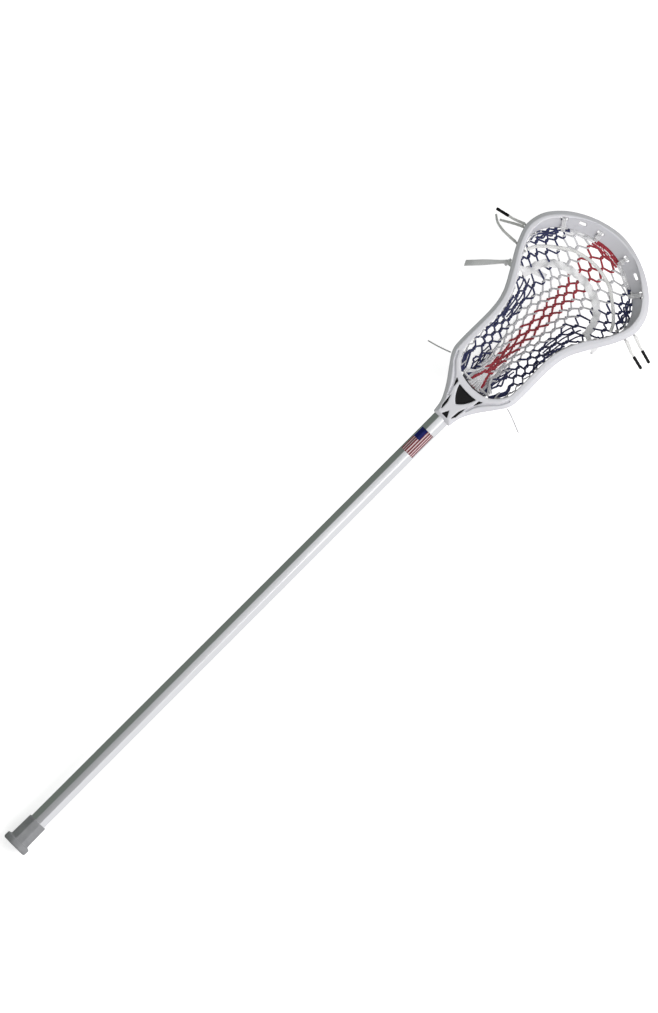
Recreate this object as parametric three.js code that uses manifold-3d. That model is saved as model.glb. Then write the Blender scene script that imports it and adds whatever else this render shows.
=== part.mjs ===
// A lacrosse stick lying on its back: an octagonal metal shaft with a rubber end cap, a moulded
// head, and a netting pocket with its strings. Millimetres, +Z up.
//
// Every piece is drawn in the stick's own frame: X runs along the shaft from the butt face (X = 0)
// to the scoop, Z points out of the open face of the head, and the shaft's centre line is Y = Z = 0.
// The whole stick is then tilted so that the end cap's rim and the bottom of the pocket both rest
// on the ground, with the origin under the middle of the stick.
import * as THREE from 'three';
import { mergeVertices } from 'three/addons/utils/BufferGeometryUtils.js';
import Module from 'manifold-3d';

const wasm = await Module();
wasm.setup();

const GAP = 0.3;

// Shaft: a tube with an elongated octagonal section.
const SHAFT_WIDTH = 21.5;
const SHAFT_HEIGHT = 27;
const SHAFT_CHAMFER = 7;
const SHAFT_WALL = 1.4;
const SHAFT_START = 3.3;
const SHAFT_END = 760;

// End cap.
const CAP_RADIUS = 19;
const CAP_FLANGE = 9;
const CAP_RIM = 3;
const COLLAR_WALL = 2.2;
const COLLAR_END = 41;

// Head: plan outlines, as [X, half width] from the throat to the scoop's tip.
const HEAD_START = 725;
const HEAD_OUTER = [
  [HEAD_START, 13], [742, 16.3], [760, 25.8], [778, 38.6], [794, 48.6], [812, 50.8], [860, 50.8],
  [886, 55.5], [910, 67.8], [935, 82.5], [957, 91.5], [972, 92.3], [990, 86], [1008, 70],
  [1022, 48.5], [1031, 25], [1035, 0],
];
const RIM_INNER = [
  [777, 0], [778.5, 12], [781.6, 21.6], [789, 30.6], [798, 37], [812, 40], [862, 39.8],
  [886, 44], [910, 54.8], [934, 71], [957, 81], [972, 81.8], [986, 77.5], [1003, 63],
  [1018, 43], [1027.5, 20], [1031, 0],
];
const SCOOP_INNER = [
  [777, 0], [778.5, 12], [781.6, 21.6], [789, 30.6], [798, 37], [812, 40], [862, 39.8],
  [886, 44], [910, 54.8], [934, 71], [952, 78.5], [966, 77.5], [980, 70], [993, 56.5],
  [1003, 38], [1009.5, 19], [1012, 0],
];
const SCOOP_LOWER_Z = -33;
const SCOOP_UPPER_Z = -15;

// Head: side outlines, as [X, Z].
const FACE_EDGE = [
  [792, 17.8], [800, 15.6], [812, 11.4], [830, 5.4], [848, 0.8], [862, -1], [880, -1.2],
  [915, 0.4], [950, 1.8], [975, 1], [1000, -3.2], [1014, -7.6], [1024, -12.8], [1031, -18.4],
  [1035.5, -24],
];
const BACK_EDGE = [
  [1027, -32.8], [975, -36.8], [951, -41.6], [926, -46.6], [902, -50], [877, -51.2],
  [853, -50.6], [829, -48.2], [805, -43], [792, -39.8], [780, -35.6], [768, -28.4],
  [756, -21.8], [744, -17.8], [732, -16.4],
];
const FACE_RAIL_LOWER = [
  [781, 4.5], [804, -0.6], [830, -6.4], [850, -11], [866, -12.8], [915, -12.8], [964, -13],
];
const BACK_RAIL_UPPER = [
  [958, -21.5], [938, -27], [920, -32.5], [902, -37.4], [877, -39.6], [853, -37.6],
  [829, -33.2], [805, -26.6], [792, -22], [784, -17.5],
];
const STRUTS = [
  [[804, 3], [831, -3], [868, -42], [850, -42]],
  [[880, -42], [892.5, -42], [934, -10], [913, -10]],
];
const STRUT_INSET = 2.5;
const STRUT_THICKNESS = 6;

// Holes for the sidewall strings, along the middle of the back rail.
const STRING_HOLES = 15;
const STRING_HOLE_START = 788;
const STRING_HOLE_PITCH = 12.2;
const STRING_HOLE_RADIUS = 1.7;

// Slots in the scoop, as [X, Y, turn about Z in degrees].
const SCOOP_SLOTS = [
  [1000, 65, 128], [1011.5, 45, 114], [1018.5, 22, 101],
  [1018.5, -22, 79], [1011.5, -45, 66], [1000, -65, 52],
];
const SLOT_LENGTH = 8.4;
const SLOT_WIDTH = 3.4;

// Pocket: netting hung from the back rail, as [X, half width], [X, edge Z] and [X, middle Z].
const POCKET_START = 787;
const POCKET_END = 1001.5;
const POCKET_HALF = [
  [787, 21.5], [797, 29.4], [812, 35], [862, 36], [886, 40], [910, 50.6], [934, 66.5],
  [950, 73], [966, 72.5], [980, 64], [990, 52], [996, 41.5], [1001.5, 27],
];
const POCKET_EDGE = [
  [787, -34], [805, -35], [829, -41], [853, -44.3], [877, -45.6], [902, -44], [926, -39.5],
  [951, -35.5], [975, -35], [1001.5, -36.5],
];
const POCKET_MIDDLE = [
  [787, -41], [801, -46], [817, -60], [829, -72], [841, -84], [853, -94], [866, -100.5],
  [881, -103.2], [900, -99.5], [914, -90], [927, -77.5], [939, -65], [951, -53.5],
  [963, -46.5], [982, -42], [1001.5, -38.5],
];
const POCKET_FULLNESS = 3;
const NET_THICKNESS = 2;

// The stick rests on the end cap's rim and on the pocket, at this slope to its own axis.
const REST_SLOPE = 0.0953;
const RIM_LOW_X = 6;

const LACE_RADIUS = 1.5;
const STRING_RADIUS = 1.1;
const THIN_RADIUS = 0.9;
const TIP_RADIUS = 2;
const TIP_LENGTH = 18;
const WEBBING_THICKNESS = 1.2;

const X_AXIS = new THREE.Vector3(1, 0, 0);
const Y_AXIS = new THREE.Vector3(0, 1, 0);
const Z_AXIS = new THREE.Vector3(0, 0, 1);
const MINUS_Y = new THREE.Vector3(0, -1, 0);
const ACROSS_TO_YZ = new THREE.Matrix4().makeBasis(Y_AXIS, Z_AXIS, X_AXIS);
const FLAT_TO_XZ = new THREE.Matrix4().makeBasis(X_AXIS, Z_AXIS, MINUS_Y);

// ---- solids ------------------------------------------------------------------------------------

function solid(geometry) {
  const bare = geometry.clone();
  bare.deleteAttribute('normal');
  bare.deleteAttribute('uv');
  const merged = mergeVertices(bare, 1e-4);
  const vertProperties = new Float32Array(merged.attributes.position.array);
  const triVerts = new Uint32Array(merged.index.array);
  return new wasm.Manifold(new wasm.Mesh({ numProp: 3, vertProperties, triVerts }));
}

function geometryOf(body) {
  const mesh = body.getMesh();
  const geometry = new THREE.BufferGeometry();
  geometry.setAttribute('position', new THREE.BufferAttribute(mesh.vertProperties, 3));
  geometry.setIndex(new THREE.BufferAttribute(mesh.triVerts, 1));
  geometry.computeVertexNormals();
  return geometry;
}

function shapeFrom(points) {
  return new THREE.Shape(points.map(([x, y]) => new THREE.Vector2(x, y)));
}

// A plan shape raised from one height to another.
function raised(shape, low, high) {
  const options = { depth: high - low, bevelEnabled: false, curveSegments: 10 };
  return new THREE.ExtrudeGeometry(shape, options).translate(0, 0, low);
}

// A shape drawn in Y and Z, drawn out along X.
function alongX(shape, start, end) {
  const options = { depth: end - start, bevelEnabled: false, curveSegments: 10 };
  return new THREE.ExtrudeGeometry(shape, options).applyMatrix4(ACROSS_TO_YZ).translate(start, 0, 0);
}

// A shape drawn in X and Z, drawn out along Y from one side to the other.
function alongY(shape, left, right) {
  const options = { depth: right - left, bevelEnabled: false, curveSegments: 10 };
  return new THREE.ExtrudeGeometry(shape, options).applyMatrix4(FLAT_TO_XZ).translate(0, right, 0);
}

function rod(radius, from, to, sides = 12) {
  const axis = to.clone().sub(from);
  const turn = new THREE.Quaternion().setFromUnitVectors(Y_AXIS, axis.clone().normalize());
  return new THREE.CylinderGeometry(radius, radius, axis.length(), sides)
    .applyQuaternion(turn)
    .translate(...from.clone().add(to).multiplyScalar(0.5).toArray());
}

function vectors(points) {
  return points.map(([x, y, z]) => new THREE.Vector3(x, y, z));
}

// A round cord along a smooth curve through the points.
function cord(points, radius, steps, sides = 8) {
  const section = new THREE.Shape();
  for (let i = 0; i < sides; i += 1) {
    const angle = (i / sides) * 2 * Math.PI;
    const corner = [radius * Math.cos(angle), radius * Math.sin(angle)];
    if (i === 0) section.moveTo(...corner);
    else section.lineTo(...corner);
  }
  const extrudePath = new THREE.CatmullRomCurve3(vectors(points), false, 'centripetal');
  return new THREE.ExtrudeGeometry(section, { steps, extrudePath, curveSegments: 1 });
}

// A closed solid through a list of rings with equal numbers of points, with its ends capped.
function loft(rings) {
  const size = rings[0].length;
  const positions = rings.flat().flatMap((point) => point.toArray());
  const index = [];
  for (let r = 0; r + 1 < rings.length; r += 1) {
    for (let i = 0; i < size; i += 1) {
      const j = (i + 1) % size;
      const [a, b, c, d] = [r * size + i, r * size + j, (r + 1) * size + j, (r + 1) * size + i];
      index.push(a, b, c, a, c, d);
    }
  }
  const last = (rings.length - 1) * size;
  const flat = rings[0].map((point) => new THREE.Vector2(point.x, point.y));
  for (const [a, b, c] of THREE.ShapeUtils.triangulateShape(flat, [])) {
    index.push(a, c, b);
    index.push(last + a, last + b, last + c);
  }
  const geometry = new THREE.BufferGeometry();
  geometry.setAttribute('position', new THREE.Float32BufferAttribute(positions, 3));
  geometry.setIndex(index);
  return geometry;
}

// A sheet of even thickness: surface(u, v) gives its underside, and its top lies straight above.
function sheet(surface, columns, rows, lift) {
  const positions = [];
  const index = [];
  const layer = (columns + 1) * (rows + 1);
  for (const side of [0, 1]) {
    for (let i = 0; i <= columns; i += 1) {
      for (let j = 0; j <= rows; j += 1) {
        const point = surface(i / columns, (2 * j) / rows - 1);
        point.addScaledVector(lift(i / columns), side);
        positions.push(...point.toArray());
      }
    }
  }
  const at = (side, i, j) => side * layer + i * (rows + 1) + j;
  const quad = (a, b, c, d) => index.push(a, b, c, a, c, d);
  for (let i = 0; i < columns; i += 1) {
    for (let j = 0; j < rows; j += 1) {
      quad(at(0, i, j), at(0, i, j + 1), at(0, i + 1, j + 1), at(0, i + 1, j));
      quad(at(1, i, j), at(1, i + 1, j), at(1, i + 1, j + 1), at(1, i, j + 1));
    }
    quad(at(0, i, 0), at(0, i + 1, 0), at(1, i + 1, 0), at(1, i, 0));
    quad(at(0, i, rows), at(1, i, rows), at(1, i + 1, rows), at(0, i + 1, rows));
  }
  for (let j = 0; j < rows; j += 1) {
    quad(at(0, 0, j), at(1, 0, j), at(1, 0, j + 1), at(0, 0, j + 1));
    quad(at(0, columns, j), at(0, columns, j + 1), at(1, columns, j + 1), at(1, columns, j));
  }
  const geometry = new THREE.BufferGeometry();
  geometry.setAttribute('position', new THREE.Float32BufferAttribute(positions, 3));
  geometry.setIndex(index);
  return geometry;
}

// ---- outlines ----------------------------------------------------------------------------------

function smooth(knots, perKnot = 2) {
  const curve = new THREE.SplineCurve(knots.map(([x, y]) => new THREE.Vector2(x, y)));
  return curve.getPoints((knots.length - 1) * perKnot).map((point) => [point.x, point.y]);
}

// The value at x of a smooth curve through [x, value] knots that run in increasing x.
function valueAt(knots, x) {
  const inside = THREE.MathUtils.clamp(x, knots[0][0], knots[knots.length - 1][0]);
  const last = knots.length - 2;
  const found = knots.findIndex(([edge], k) => k > 0 && edge >= inside) - 1;
  const i = THREE.MathUtils.clamp(found, 0, last);
  const slope = (a, b) => (b[1] - a[1]) / (b[0] - a[0]);
  const span = knots[i + 1][0] - knots[i][0];
  const start = slope(knots[Math.max(i - 1, 0)], knots[i + 1]) * span;
  const end = slope(knots[i], knots[Math.min(i + 2, last + 1)]) * span;
  const t = (inside - knots[i][0]) / span;
  const rise = t * t * (3 - 2 * t);
  const bend = start * t * (1 - t) * (1 - t) - end * t * t * (1 - t);
  return knots[i][1] + (knots[i + 1][1] - knots[i][1]) * rise + bend;
}

// A plan outline from its half: up one side, round the tip and back down the other.
function plan(half) {
  const back = half.slice(0, -1).reverse().map(([x, w]) => [x, -w]);
  const points = smooth([...half, ...back]);
  return half[0][1] === 0 ? points.slice(0, -1) : points;
}

function octagon(width, height, chamfer) {
  const [a, b] = [width / 2, height / 2];
  return [
    [-a + chamfer, -b], [a - chamfer, -b], [a, -b + chamfer], [a, b - chamfer],
    [a - chamfer, b], [-a + chamfer, b], [-a, b - chamfer], [-a, -b + chamfer],
  ];
}

function shaftOctagon(growth) {
  const chamfer = SHAFT_CHAMFER + growth * (2 - Math.SQRT2);
  return octagon(SHAFT_WIDTH + 2 * growth, SHAFT_HEIGHT + 2 * growth, chamfer);
}

// The underside of the net at a place, resting on the ground where the net would pass below it.
function groundUnder(x) {
  return -CAP_RADIUS - (x - RIM_LOW_X) * REST_SLOPE;
}

function netUnder(x, y) {
  const edge = valueAt(POCKET_EDGE, x);
  const middle = valueAt(POCKET_MIDDLE, x);
  const across = Math.min(1, Math.abs(y) / valueAt(POCKET_HALF, x));
  const hang = edge + (middle - edge) * (1 - across ** POCKET_FULLNESS) - NET_THICKNESS / 2;
  return Math.max(hang, groundUnder(x));
}

function netTop(x, y) {
  return netUnder(x, y) + NET_THICKNESS;
}

// ---- shaft and end cap -------------------------------------------------------------------------

const SCREW_X = 744;
const SCREW_HOLE_RADIUS = 2;
const SCREW_SHANK_RADIUS = 1.6;
const SCREW_HEAD_RADIUS = 3.8;

function screwHole(radius, low, high) {
  const from = new THREE.Vector3(SCREW_X, 0, low);
  return solid(rod(radius, from, new THREE.Vector3(SCREW_X, 0, high), 16));
}

function shaft() {
  const section = shapeFrom(shaftOctagon(0));
  section.holes.push(new THREE.Path(shapeFrom(shaftOctagon(-SHAFT_WALL)).getPoints().reverse()));
  const tube = solid(alongX(section, SHAFT_START, SHAFT_END));
  return geometryOf(tube.subtract(screwHole(SCREW_HOLE_RADIUS, -SHAFT_HEIGHT, 0)));
}

function endCap() {
  const profile = new THREE.Shape();
  profile.moveTo(0, 0);
  profile.lineTo(CAP_RADIUS - CAP_RIM, 0);
  profile.absarc(CAP_RADIUS - CAP_RIM, CAP_RIM, CAP_RIM, -Math.PI / 2, 0);
  profile.absarc(CAP_RADIUS - CAP_RIM, CAP_FLANGE - CAP_RIM, CAP_RIM, 0, Math.PI / 2);
  profile.lineTo(0, CAP_FLANGE);
  const flange = new THREE.LatheGeometry(profile.getPoints(3), 32).rotateZ(-Math.PI / 2);
  const collar = solid(alongX(shapeFrom(shaftOctagon(COLLAR_WALL)), CAP_FLANGE - 2, COLLAR_END));
  const socket = solid(alongX(shapeFrom(shaftOctagon(GAP)), SHAFT_START - GAP, COLLAR_END + 1));
  return geometryOf(solid(flange).add(collar).subtract(socket));
}

// ---- head --------------------------------------------------------------------------------------

function ringLoft(levels) {
  return loft(levels.map(([half, z]) => plan(half).map(([x, y]) => new THREE.Vector3(x, y, z))));
}

// Counter-clockwise from above, so that a loft of it from low to high faces outwards.
function reversedPlan(half, z) {
  return plan(half).reverse().map(([x, y]) => new THREE.Vector3(x, y, z));
}

function sideShape(points) {
  return solid(alongY(shapeFrom(points), -110, 110));
}

function railRing() {
  const outer = solid(raised(shapeFrom(plan(HEAD_OUTER)), -60, 30));
  const opening = solid(loft([
    reversedPlan(SCOOP_INNER, -61), reversedPlan(SCOOP_INNER, SCOOP_LOWER_Z),
    reversedPlan(RIM_INNER, SCOOP_UPPER_Z), reversedPlan(RIM_INNER, 31),
  ]));
  const side = sideShape([
    [HEAD_START, -15], [HEAD_START, 16], [HEAD_START + 3, 17.8], ...smooth(FACE_EDGE),
    ...smooth(BACK_EDGE),
  ]);
  const between = sideShape([...smooth(FACE_RAIL_LOWER), ...smooth(BACK_RAIL_UPPER)]);
  return outer.subtract(opening).intersect(side).subtract(between);
}

function strutPair([...corners]) {
  const inset = (depth) => HEAD_OUTER.map(([x, w]) => [x, Math.max(w - depth, 0)]);
  const outer = solid(raised(shapeFrom(plan(inset(STRUT_INSET))), -60, 30));
  const inner = solid(raised(shapeFrom(plan(inset(STRUT_INSET + STRUT_THICKNESS))), -61, 31));
  return outer.subtract(inner).intersect(sideShape(corners));
}

function badgeShape(margin) {
  const shape = new THREE.Shape();
  shape.moveTo(750 - 1.4 * margin, 0);
  shape.quadraticCurveTo(756, -9 - margin, 770 + margin, -13.5 - 1.4 * margin);
  shape.quadraticCurveTo(768 + margin, 0, 770 + margin, 13.5 + 1.4 * margin);
  shape.quadraticCurveTo(756, 9 + margin, 750 - 1.4 * margin, 0);
  return shape;
}

const THROAT_TOP = 17.8;
const BADGE_DEPTH = 2;

function throatCuts() {
  const socket = solid(alongX(shapeFrom(shaftOctagon(GAP)), HEAD_START - 1, SHAFT_END + GAP));
  const badge = solid(raised(badgeShape(GAP), THROAT_TOP - BADGE_DEPTH - GAP, THROAT_TOP + 1));
  const notch = solid(raised(shapeFrom([[730, -4.6], [739, 0], [730, 4.6]]), 10, THROAT_TOP + 1));
  let cuts = socket.add(badge).add(notch);
  for (const side of [-1, 1]) {
    const order = (points) => (side > 0 ? points : points.reverse());
    const slit = order([[733, 8], [745, 8.8], [756, 12.8], [738, 11]].map(([x, y]) => [x, y * side]));
    const hollow = order([[762, 8], [768, 22], [755, 15], [750, 13.8]].map(([x, y]) => [x, y * side]));
    const [near, far] = side > 0 ? [9.9, 30] : [-30, -9.9];
    const window = shapeFrom([[740, -5.5], [752, -5.5], [750, 5], [740, 5]]);
    cuts = cuts.add(solid(raised(shapeFrom(slit), 9.5, THROAT_TOP + 1)))
      .add(solid(raised(shapeFrom(hollow), -40, 10)))
      .add(solid(alongY(window, near, far)));
  }
  return cuts.add(screwHole(SCREW_HOLE_RADIUS, -30, -10)).add(screwHole(SCREW_HEAD_RADIUS + 0.4, -30, -16));
}

function stringHoles() {
  let holes = null;
  for (let i = 0; i < STRING_HOLES; i += 1) {
    const x = STRING_HOLE_START + i * STRING_HOLE_PITCH;
    const z = (valueAt([...BACK_RAIL_UPPER].reverse(), x) + valueAt([...BACK_EDGE].reverse(), x)) / 2;
    const from = new THREE.Vector3(x, -110, z);
    const hole = solid(rod(STRING_HOLE_RADIUS, from, new THREE.Vector3(x, 110, z), 8));
    holes = holes ? holes.add(hole) : hole;
  }
  return holes;
}

function scoopSlots() {
  let slots = null;
  const [a, r] = [(SLOT_LENGTH - SLOT_WIDTH) / 2, SLOT_WIDTH / 2];
  for (const [x, y, turn] of SCOOP_SLOTS) {
    const shape = new THREE.Shape();
    shape.absarc(a, 0, r, -Math.PI / 2, Math.PI / 2);
    shape.absarc(-a, 0, r, Math.PI / 2, (3 * Math.PI) / 2);
    const slot = new THREE.ExtrudeGeometry(shape, { depth: 80, bevelEnabled: false, curveSegments: 4 })
      .rotateZ(THREE.MathUtils.degToRad(turn))
      .translate(x, y, -60);
    slots = slots ? slots.add(solid(slot)) : solid(slot);
  }
  return slots;
}

function headFrame() {
  let body = railRing();
  for (const corners of STRUTS) body = body.add(strutPair(corners));
  return geometryOf(body.subtract(throatCuts()).subtract(stringHoles()).subtract(scoopSlots()));
}

function headScrew() {
  const profile = [
    [0, -19.2], [2.6, -19.2], [SCREW_HEAD_RADIUS, -18], [SCREW_HEAD_RADIUS, -16.3],
    [SCREW_SHANK_RADIUS, -16.3], [SCREW_SHANK_RADIUS, -8], [0, -6],
  ].map(([r, z]) => new THREE.Vector2(r, z));
  return new THREE.LatheGeometry(profile, 20).rotateX(Math.PI / 2).translate(SCREW_X, 0, 0);
}

function throatBadge() {
  return raised(badgeShape(0), THROAT_TOP - BADGE_DEPTH, THROAT_TOP - GAP);
}

// A foam strip on the ball stop's curved face.
function ballStopPad() {
  const [radius, half] = [46.6, 0.42];
  const centre = 777 + radius;
  const shape = new THREE.Shape();
  shape.absarc(centre, 0, radius - GAP, Math.PI - half, Math.PI + half);
  shape.absarc(centre, 0, radius - GAP - 2.4, Math.PI + half, Math.PI - half, true);
  return raised(shape, -28, 6);
}

// A thin film over the shaft's face and its two upper chamfers.
function shaftDecal() {
  const [inner, outer] = [shaftOctagon(GAP), shaftOctagon(GAP + 0.25)];
  const shape = shapeFrom([outer[3], outer[4], outer[5], outer[6], inner[6], inner[5], inner[4], inner[3]]);
  return alongX(shape, 667, 703);
}

// ---- netting -----------------------------------------------------------------------------------

function meshPocket() {
  const surface = (u, v) => {
    const x = THREE.MathUtils.lerp(POCKET_START, POCKET_END, u);
    const y = v * valueAt(POCKET_HALF, x);
    return new THREE.Vector3(x, y, netUnder(x, y));
  };
  return sheet(surface, 27, 16, () => new THREE.Vector3(0, 0, NET_THICKNESS));
}

// The unused end of the netting, curled back under the pocket.
const NET_END = [
  [794, -44, 20], [781, -48, 19], [774.5, -62, 18], [783, -80, 19], [801, -88.5, 21], [826, -86, 24],
];

function meshTail() {
  const line = new THREE.SplineCurve(NET_END.map(([x, z]) => new THREE.Vector2(x, z)));
  const halfWidths = new THREE.SplineCurve(NET_END.map(([, , half], i) => new THREE.Vector2(i, half)));
  const surface = (u, v) => {
    const point = line.getPoint(u);
    return new THREE.Vector3(point.x, v * halfWidths.getPoint(u).y, point.y);
  };
  const lift = (u) => {
    const tangent = line.getTangent(u);
    return new THREE.Vector3(-tangent.y, 0, tangent.x).multiplyScalar(NET_THICKNESS);
  };
  return sheet(surface, 18, 2, lift);
}

// ---- strings -----------------------------------------------------------------------------------

// A point beside the net's edge, level with it and a short way out from it.
function besideNet(x, distance) {
  const slope = (valueAt(POCKET_HALF, x + 1) - valueAt(POCKET_HALF, x - 1)) / 2;
  const length = Math.hypot(slope, 1);
  const y = valueAt(POCKET_HALF, x) + distance / length;
  return [x - (slope * distance) / length, y, valueAt(POCKET_EDGE, x)];
}

function sidewallString(side) {
  const points = [];
  for (let x = 794; x <= 984; x += 8) {
    const [px, py, pz] = besideNet(x, 2);
    points.push([px, py * side, pz]);
  }
  return cord(points, STRING_RADIUS, 34);
}

function topString() {
  const half = [[993, 56.5], [1003, 38], [1009.5, 19], [1012, 0]];
  const offset = ([x, y]) => [x - 2.2, y * 0.98, -36.4];
  const side = half.map(offset);
  const other = side.slice(0, -1).reverse().map(([x, y, z]) => [x, -y, z]);
  return cord([...side, ...other], STRING_RADIUS, 24);
}

// Short loops that hold the top string, as [slot, reach, Z at the slot]: each lies on the scoop's
// ramp from its slot to the ramp's lower edge.
const LOOPS = [[0, 12, -12.4], [2, 8, -20], [3, 8, -20], [5, 12, -12.4]];
const LOOP_EDGE_Z = -29.6;

function scoopLoop([slot, reach, startZ]) {
  const [x, y, turn] = SCOOP_SLOTS[slot];
  const inward = THREE.MathUtils.degToRad(turn + 90);
  const along = (t, z) => [x + Math.cos(inward) * reach * t, y + Math.sin(inward) * reach * t, z];
  const middleZ = (startZ + LOOP_EDGE_Z) / 2 + 1.4;
  return cord([along(0, startZ), along(0.5, middleZ), along(1, LOOP_EDGE_Z)], STRING_RADIUS, 6);
}

function bottomString() {
  return cord([[784.6, 21, -36.5], [784, 12, -39], [784, 0, -40], [784, -12, -39], [784.6, -21, -36.5]],
    STRING_RADIUS, 8);
}

// A lace that runs in a U across the upper pocket, on top of the netting.
function laceAcross(half, height) {
  const lay = ([x, y]) => [x, y, netTop(x, y) + height];
  const other = half.slice(0, -1).reverse().map(([x, y]) => [x, -y]);
  return [...half, ...other].map(lay);
}

const SHOOTING_LACE = [[953, 71], [964, 58], [974, 40], [981, 21], [983.5, 0]];
const SHOOTING_STRAP = [[918, 53], [934, 50], [946, 44], [956, 32], [962.5, 14], [964, 0]];
const STRAP_HALF_WIDTH = 3.5;

function shootingLace() {
  return cord(laceAcross(SHOOTING_LACE, STRING_RADIUS + 1), STRING_RADIUS, 34);
}

function shootingStrap() {
  const other = SHOOTING_STRAP.slice(0, -1).reverse().map(([x, y]) => [x, -y]);
  const line = new THREE.SplineCurve([...SHOOTING_STRAP, ...other].map(([x, y]) => new THREE.Vector2(x, y)));
  const surface = (u, v) => {
    const [point, tangent] = [line.getPoint(u), line.getTangent(u)];
    const x = point.x - tangent.y * v * STRAP_HALF_WIDTH;
    const y = point.y + tangent.x * v * STRAP_HALF_WIDTH;
    return new THREE.Vector3(x, y, netTop(x, y) + 1.3);
  };
  return sheet(surface, 36, 2, () => new THREE.Vector3(0, 0, WEBBING_THICKNESS));
}

// ---- free ends ---------------------------------------------------------------------------------

const LACE_ENDS = {
  lace_end_left_curl: [
    [939, 87.5, -35], [938.5, 97, -37], [938.5, 108, -43], [941, 119, -52], [946.5, 127, -63],
  ],
  lace_end_left_bare: [[958.5, 93.5, -37], [955, 101, -41], [950, 110, -48], [945, 119, -57]],
  lace_end_left_tipped: [[962, 94.5, -32], [959.5, 101, -34.5], [957, 108, -37.5], [955.5, 114.5, -39.5]],
  lace_end_right_upper: [[949, -92, -34], [946.3, -98.5, -37], [943.5, -104.6, -40], [942, -111, -42]],
  lace_end_right_lower: [[960.5, -95, -32], [958.3, -101, -35], [956, -106.8, -38], [954.3, -113, -40]],
};
const STRING_ENDS = {
  string_end_left: [[790, 48.3, -30], [787.5, 55, -32], [784.5, 64, -37], [782, 73, -44], [781, 77, -50]],
  string_end_right: [
    [790, -48.3, -30], [788, -55, -31], [785, -63.5, -36], [781.5, -72, -43], [779.5, -77.5, -49],
  ],
  string_end_throat: [[770, 3, -33.5], [762, 4, -38], [752, 4, -41.5], [743, 3, -43], [735, 2, -42]],
};
const TIPPED = {
  lace_tip_left: 'lace_end_left_tipped',
  lace_tip_right_upper: 'lace_end_right_upper',
  lace_tip_right_lower: 'lace_end_right_lower',
};
const STRAP_END = [[915.5, 77, -40], [906, 86, -44], [894.5, 97, -51], [885, 106, -60], [879, 112, -69]];

function laceTip(points) {
  const [before, last] = vectors(points.slice(-2));
  const along = last.clone().sub(before).normalize();
  const from = last.clone().addScaledVector(along, GAP);
  return rod(TIP_RADIUS, from, from.clone().addScaledVector(along, TIP_LENGTH), 10);
}

function strapEnd() {
  const line = new THREE.CatmullRomCurve3(vectors(STRAP_END));
  const surface = (u, v) => {
    const tangent = line.getTangent(u);
    const across = new THREE.Vector3(-tangent.y, tangent.x, 0).normalize();
    return line.getPoint(u).addScaledVector(across, v * STRAP_HALF_WIDTH);
  };
  return sheet(surface, 12, 2, () => new THREE.Vector3(0, 0, WEBBING_THICKNESS));
}

// ---- the stick ---------------------------------------------------------------------------------

function material(color, roughness, metalness = 0) {
  return new THREE.MeshStandardMaterial({ color, roughness, metalness });
}

const metal = material(0xd2d5d8, 0.3, 0.9);
const rubber = material(0xb4b6b9, 0.7);
const moulded = material(0xeeeef1, 0.35);
const black = material(0x16161a, 0.45);
const foam = material(0x2b2b2e, 0.9);
const steel = material(0x9a9ca0, 0.35, 1);
const film = material(0xb3394a, 0.4);
const netting = material(0x8f2a3c, 0.85);
const netEnd = material(0x2a3566, 0.85);
const string = material(0xdcdcdf, 0.8);
const webbing = material(0xd7d7db, 0.85);

const stick = new THREE.Group();
const ends = new THREE.Group();

function place(name, geometry, look, group = stick) {
  const mesh = new THREE.Mesh(geometry, look);
  mesh.name = name;
  group.add(mesh);
}

place('shaft', shaft(), metal);
place('end_cap', endCap(), rubber);
place('head_frame', headFrame(), moulded);
place('head_screw', headScrew(), steel);
place('throat_badge', throatBadge(), black);
place('ball_stop_pad', ballStopPad(), foam);
place('shaft_decal', shaftDecal(), film);
place('mesh_pocket', meshPocket(), netting);
place('mesh_tail', meshTail(), netEnd);
place('sidewall_string_left', sidewallString(1), string);
place('sidewall_string_right', sidewallString(-1), string);
place('top_string', topString(), string);
for (const [i, loop] of LOOPS.entries()) {
  place(`scoop_loop_${i + 1}`, scoopLoop(loop), string);
}
place('bottom_string', bottomString(), string);
place('shooting_lace', shootingLace(), string);
place('shooting_strap', shootingStrap(), webbing);

for (const [name, points] of Object.entries(LACE_ENDS)) {
  place(name, cord(points, LACE_RADIUS, 8), string, ends);
}
for (const [name, points] of Object.entries(STRING_ENDS)) {
  place(name, cord(points, THIN_RADIUS, 9), string, ends);
}
for (const [name, lace] of Object.entries(TIPPED)) {
  place(name, laceTip(LACE_ENDS[lace]), black, ends);
}
place('strap_end', strapEnd(), webbing, ends);

// Lay the stick down, with the ground under its rim and pocket and the origin under its middle.
const lying = new THREE.Group();
lying.rotation.y = -Math.atan(REST_SLOPE);
lying.add(stick, ends);
const lacrosseStick = new THREE.Group();
lacrosseStick.add(lying);
lacrosseStick.updateMatrixWorld(true);
const bounds = new THREE.Box3().setFromObject(stick, true);
lying.position.set(-(bounds.min.x + bounds.max.x) / 2, 0, -bounds.min.z);

export default lacrosseStick;
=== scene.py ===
import math

import bpy
import numpy as np
from mathutils import Matrix, Vector


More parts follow.
